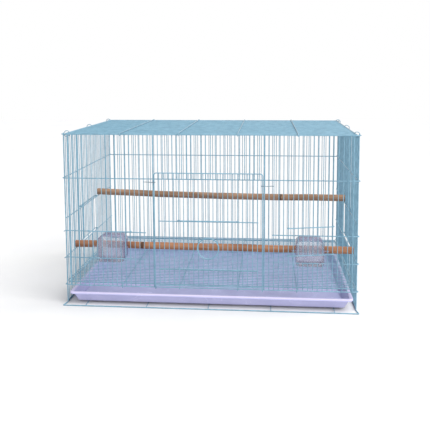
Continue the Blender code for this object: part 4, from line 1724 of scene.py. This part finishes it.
@dataclass(frozen=True)
class FeederCup:
    """Clear hooded cup: closed at the front, open above its rim at the back, with hooks."""

    side: int
    wall: float = 0.0018
    corner: float = 0.010
    hood: float = 0.016
    ear: float = 0.012
    depth: float = 0.047
    rim_z: float = 0.154
    edge: float = 0.0016
    tab: float = 0.005
    tab_bays: int = 2

    def build(self, shop: Workshop) -> bpy.types.Object:
        """Builds the cup."""
        node = ("left" if self.side < 0 else "right") + "_feeder_cup"
        low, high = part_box(node)
        middle_x = (low.x + high.x) / 2
        half = (high.x - low.x) / 2 - self.ear
        back = high.y
        front = back - self.depth
        centre_z = (low.z + high.z) / 2
        half_z = (high.z - low.z) / 2
        look = shop.finishes[Slot.CLEAR]

        def block(name: str, inset: float, y0: float, y1: float, edge: float) -> bpy.types.Object:
            """A rounded block in the cup's outline, with softened front and back edges."""
            stops = [(y0, edge), (y0 + edge * 0.3, edge * 0.3), (y0 + edge, 0.0)]
            stops += [(y1 - edge, 0.0), (y1 - edge * 0.3, edge * 0.3), (y1, edge)]
            skin = []
            for y, cut in stops:
                grow = inset + cut
                outline = rounded_ring(
                    half - grow, half_z - grow, self.hood - grow, 8, self.corner - grow
                )
                skin.append([Vector((middle_x + x, y, centre_z + z)) for x, z in outline])
            item = bpy.data.objects.new(name, loft(name, skin, look))
            bpy.context.scene.collection.objects.link(item)
            return item

        body = block(node + "_shell", 0.0, front, back, self.edge)
        cavity = block(node + "_cavity", self.wall, front + self.wall, back - self.wall, self.edge)
        reach = half - self.wall - self.edge
        window = self._bar(
            (middle_x - reach, back - 3 * self.wall, self.rim_z),
            (middle_x + reach, back + self.wall, high.z - self.wall - self.edge),
            self.corner,
        )
        ears = self._bar(
            (low.x, front + self.wall / 3, self.rim_z - self.wall),
            (high.x, front + self.wall * 4 / 3, self.rim_z + self.wall),
            self.wall * 0.9,
        )
        tabs = [self._tab(shop, middle_x + side * self.tab_bays * shop.places.front_pitch, low, front)
                for side in (-1, 1)]
        steps = [("DIFFERENCE", cavity), ("DIFFERENCE", window), ("UNION", ears)]
        steps += [("UNION", item) for pair in tabs for item in pair]
        for operation, other in steps:
            step = body.modifiers.new(operation.lower(), "BOOLEAN")
            step.operation = operation
            step.solver = "EXACT"
            step.object = other
        graph = bpy.context.evaluated_depsgraph_get()
        mesh = bpy.data.meshes.new_from_object(body.evaluated_get(graph))
        mesh.name = node + "_moulding"
        for _, other in steps:
            bpy.data.objects.remove(other)
        bpy.data.objects.remove(body)
        mesh.materials.clear()
        mesh.materials.append(look)
        mesh.shade_smooth()
        mesh.set_sharp_from_angle(angle=math.radians(35))
        return show(mesh, node, Slot.CLEAR, node)

    def _tab(self, shop: Workshop, x: float, low: Vector, front: float) -> list[bpy.types.Object]:
        """One tab with its hook over the feeder opening's lower rail."""
        gauge = shop.gauge
        rail_z = Opening.behind("left_feeder_door", gauge).low_z
        under = rail_z + gauge.rail / 2 + gauge.gap
        left, right = x - self.tab / 2, x + self.tab / 2
        arm = self._bar((left, low.y + gauge.gap, under), (right, front + self.wall / 2, under + self.wall), 0.0005)
        hook = self._bar(
            (left + gauge.gap, low.y, rail_z - gauge.rail),
            (right - gauge.gap, low.y + 0.0015, under + self.wall / 2),
            0.0005,
        )
        return [arm, hook]

    @staticmethod
    def _bar(low: tuple, high: tuple, edge: float) -> bpy.types.Object:
        """A box between two corners with its front-to-back edges rounded."""
        work = bmesh.new()
        bmesh.ops.create_cube(work, size=1.0)
        middle = (Vector(low) + Vector(high)) / 2
        bmesh.ops.scale(work, vec=Vector(high) - Vector(low), verts=work.verts)
        bmesh.ops.translate(work, vec=middle, verts=work.verts)
        deep = [
            item
            for item in work.edges
            if abs((item.verts[0].co - item.verts[1].co).normalized().y) > 0.9
        ]
        bmesh.ops.bevel(work, geom=deep, offset=edge, segments=5, profile=0.5, affect="EDGES")
        mesh = bpy.data.meshes.new("cup_bar")
        work.to_mesh(mesh)
        work.free()
        item = bpy.data.objects.new("cup_bar", mesh)
        bpy.context.scene.collection.objects.link(item)
        item.hide_render = True
        return item


# ---------------------------------------------------------------------------------- studio


@dataclass(frozen=True)
class Studio:
    """Pale floor, white surroundings, soft lights and the camera."""

    camera_place: tuple[float, float, float] = (0.1516, -1.6941, 0.6078)
    turn_left: float = 0.0848
    tilt_down: float = 0.0969
    roll: float = -0.0038
    lens: float = 48.87
    shift: tuple[float, float] = (-0.0073, -0.1952)
    world_light: float = 0.68
    sun_from: tuple[float, float, float] = (0.75, -0.1, 1.0)
    sun_strength: float = 3.5
    sun_spread: float = 50.0

    def build(self, groups: ShaderGroups) -> None:
        """Builds the studio."""
        self._camera()
        self._world()
        self._floor(groups)
        self._sun()
        self._light("fill", (0.3, -2.3, 1.1), 1.8, 26.0)

    def _camera(self) -> None:
        """Sets up the camera."""
        data = bpy.data.cameras.new("camera")
        data.lens = self.lens
        data.sensor_width = 36.0
        data.shift_x, data.shift_y = self.shift
        camera = bpy.data.objects.new("camera", data)
        bpy.context.scene.collection.objects.link(camera)
        turn = Matrix.Rotation(self.turn_left, 4, "Z") @ Matrix.Rotation(
            math.pi / 2 - self.tilt_down, 4, "X"
        )
        camera.matrix_world = (
            Matrix.Translation(self.camera_place) @ turn @ Matrix.Rotation(self.roll, 4, "Z")
        )
        bpy.context.scene.camera = camera

    def _world(self) -> None:
        """White surroundings."""
        world = bpy.data.worlds.new("studio")
        world.use_nodes = True
        sky = world.node_tree.nodes["Background"]
        sky.inputs["Color"].default_value = (1.0, 1.0, 1.0, 1.0)
        make = TreeMaker(world.node_tree)
        seen = make.add("ShaderNodeLightPath").outputs["Is Camera Ray"]
        strength = make.add(
            "ShaderNodeMapRange", {"Value": seen, "To Min": self.world_light, "To Max": 1.0}
        )
        world.node_tree.links.new(strength.outputs[0], sky.inputs["Strength"])
        bpy.context.scene.world = world
        bpy.context.scene.view_settings.view_transform = "Standard"

    def _floor(self, groups: ShaderGroups) -> None:
        """Pale floor."""
        mesh = bpy.data.meshes.new("floor")
        work = bmesh.new()
        bmesh.ops.create_grid(work, x_segments=1, y_segments=1, size=6.0)
        work.to_mesh(mesh)
        work.free()
        surface = Surface("floor_paper", groups)
        paper = surface.effect(
            groups.mottle,
            {"Scale": 3.0, "Low": (0.63, 0.63, 0.64, 1.0), "High": (0.65, 0.65, 0.65, 1.0)},
        )
        mesh.materials.append(
            surface.wire({"Base Color": paper.outputs["Color"], "Roughness": 0.9})
        )
        floor = bpy.data.objects.new("floor", mesh)
        bpy.context.scene.collection.objects.link(floor)

    def _sun(self) -> None:
        """Broad soft light from above."""
        data = bpy.data.lights.new("sun", "SUN")
        data.energy = self.sun_strength
        data.angle = math.radians(self.sun_spread)
        sun = bpy.data.objects.new("sun", data)
        bpy.context.scene.collection.objects.link(sun)
        sun.rotation_euler = Vector(self.sun_from).to_track_quat("Z", "Y").to_euler()

    @staticmethod
    def _light(name: str, place: tuple[float, float, float], size: float, power: float) -> None:
        """A soft square light that faces the cage."""
        data = bpy.data.lights.new(name, "AREA")
        data.size = size
        data.energy = power
        light = bpy.data.objects.new(name, data)
        bpy.context.scene.collection.objects.link(light)
        light.location = place
        aim = Vector((0.0, 0.0, 0.2)) - Vector(place)
        light.rotation_euler = aim.to_track_quat("-Z", "Y").to_euler()


def main() -> None:
    """Builds the cage's looks and the studio."""
    logging.basicConfig(level=logging.INFO, format="%(name)s: %(message)s")
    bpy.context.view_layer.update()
    gauge = WireGauge()
    places = CagePlaces.read(gauge)
    groups = ShaderGroups.build()
    finishes = {
        Slot.COATED: CoatedWire().build(groups),
        Slot.BRIGHT: BrightWire().build(groups),
        Slot.TRAY: TrayPlastic(rim_z=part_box("tray")[1].z).build(groups),
        Slot.CLEAR: ClearPlastic().build(groups),
    }
    shop = Workshop(places, WireTrees.build(), finishes)
    FrontPanel().build(shop)
    BackPanel().build(shop)
    for side in (-1, 1):
        EndPanel(side).build(shop)
    Mat("top_panel", bars_above=False).build(shop)
    Mat("floor_grate", bars_above=True).build(shop)
    BaseFrame().build(shop)
    TopLoops().build(shop)
    front_door = FrontDoor()
    front_door.build(shop)
    door_plane = front_door.plane(shop)

    def opening_height(node: str) -> float:
        """From a lift door's lower rail to its upper one."""
        opening = Opening.behind(node, gauge)
        return opening.high_z - opening.low_z

    small_height = opening_height("small_door")
    feeder_height = opening_height("left_feeder_door")
    LiftDoor("small_door", "small_door", 12, small_height).build(shop, door_plane)
    DoorRing().build(shop)
    slope = math.tan(math.radians(3.5))
    LiftDoor("left_feeder_door", "left_feeder_door", 9, feeder_height).build(shop, places.front)
    LiftDoor("right_feeder_door", "right_feeder_door", 9, feeder_height, slope).build(
        shop, places.front
    )
    for side, word in ((-1, "left"), (1, "right")):
        node = word + "_nest_door"
        LiftDoor(node, node, 12, opening_height(node)).build(shop, places.end(side))
        Latch(side).build(shop, door_plane)
        FeederCup(side).build(shop)
    Tray().build(shop)
    upper = PerchWood(
        "olive_brown_dowel", (0.37, 0.225, 0.14), (0.18, 0.10, 0.06), (0.06, 0.035, 0.022), (0.19,)
    )
    lower = PerchWood(
        "red_brown_dowel", (0.40, 0.19, 0.10), (0.20, 0.082, 0.042), (0.05, 0.025, 0.015), (-0.19,)
    )
    Perch("upper_perch", upper, (24, 20), sag=0.004).build(shop, groups)
    Perch("lower_perch", lower, (6, 5), sag=0.001).build(shop, groups)
    Studio().build(groups)


if __name__ == "__main__":
    main()
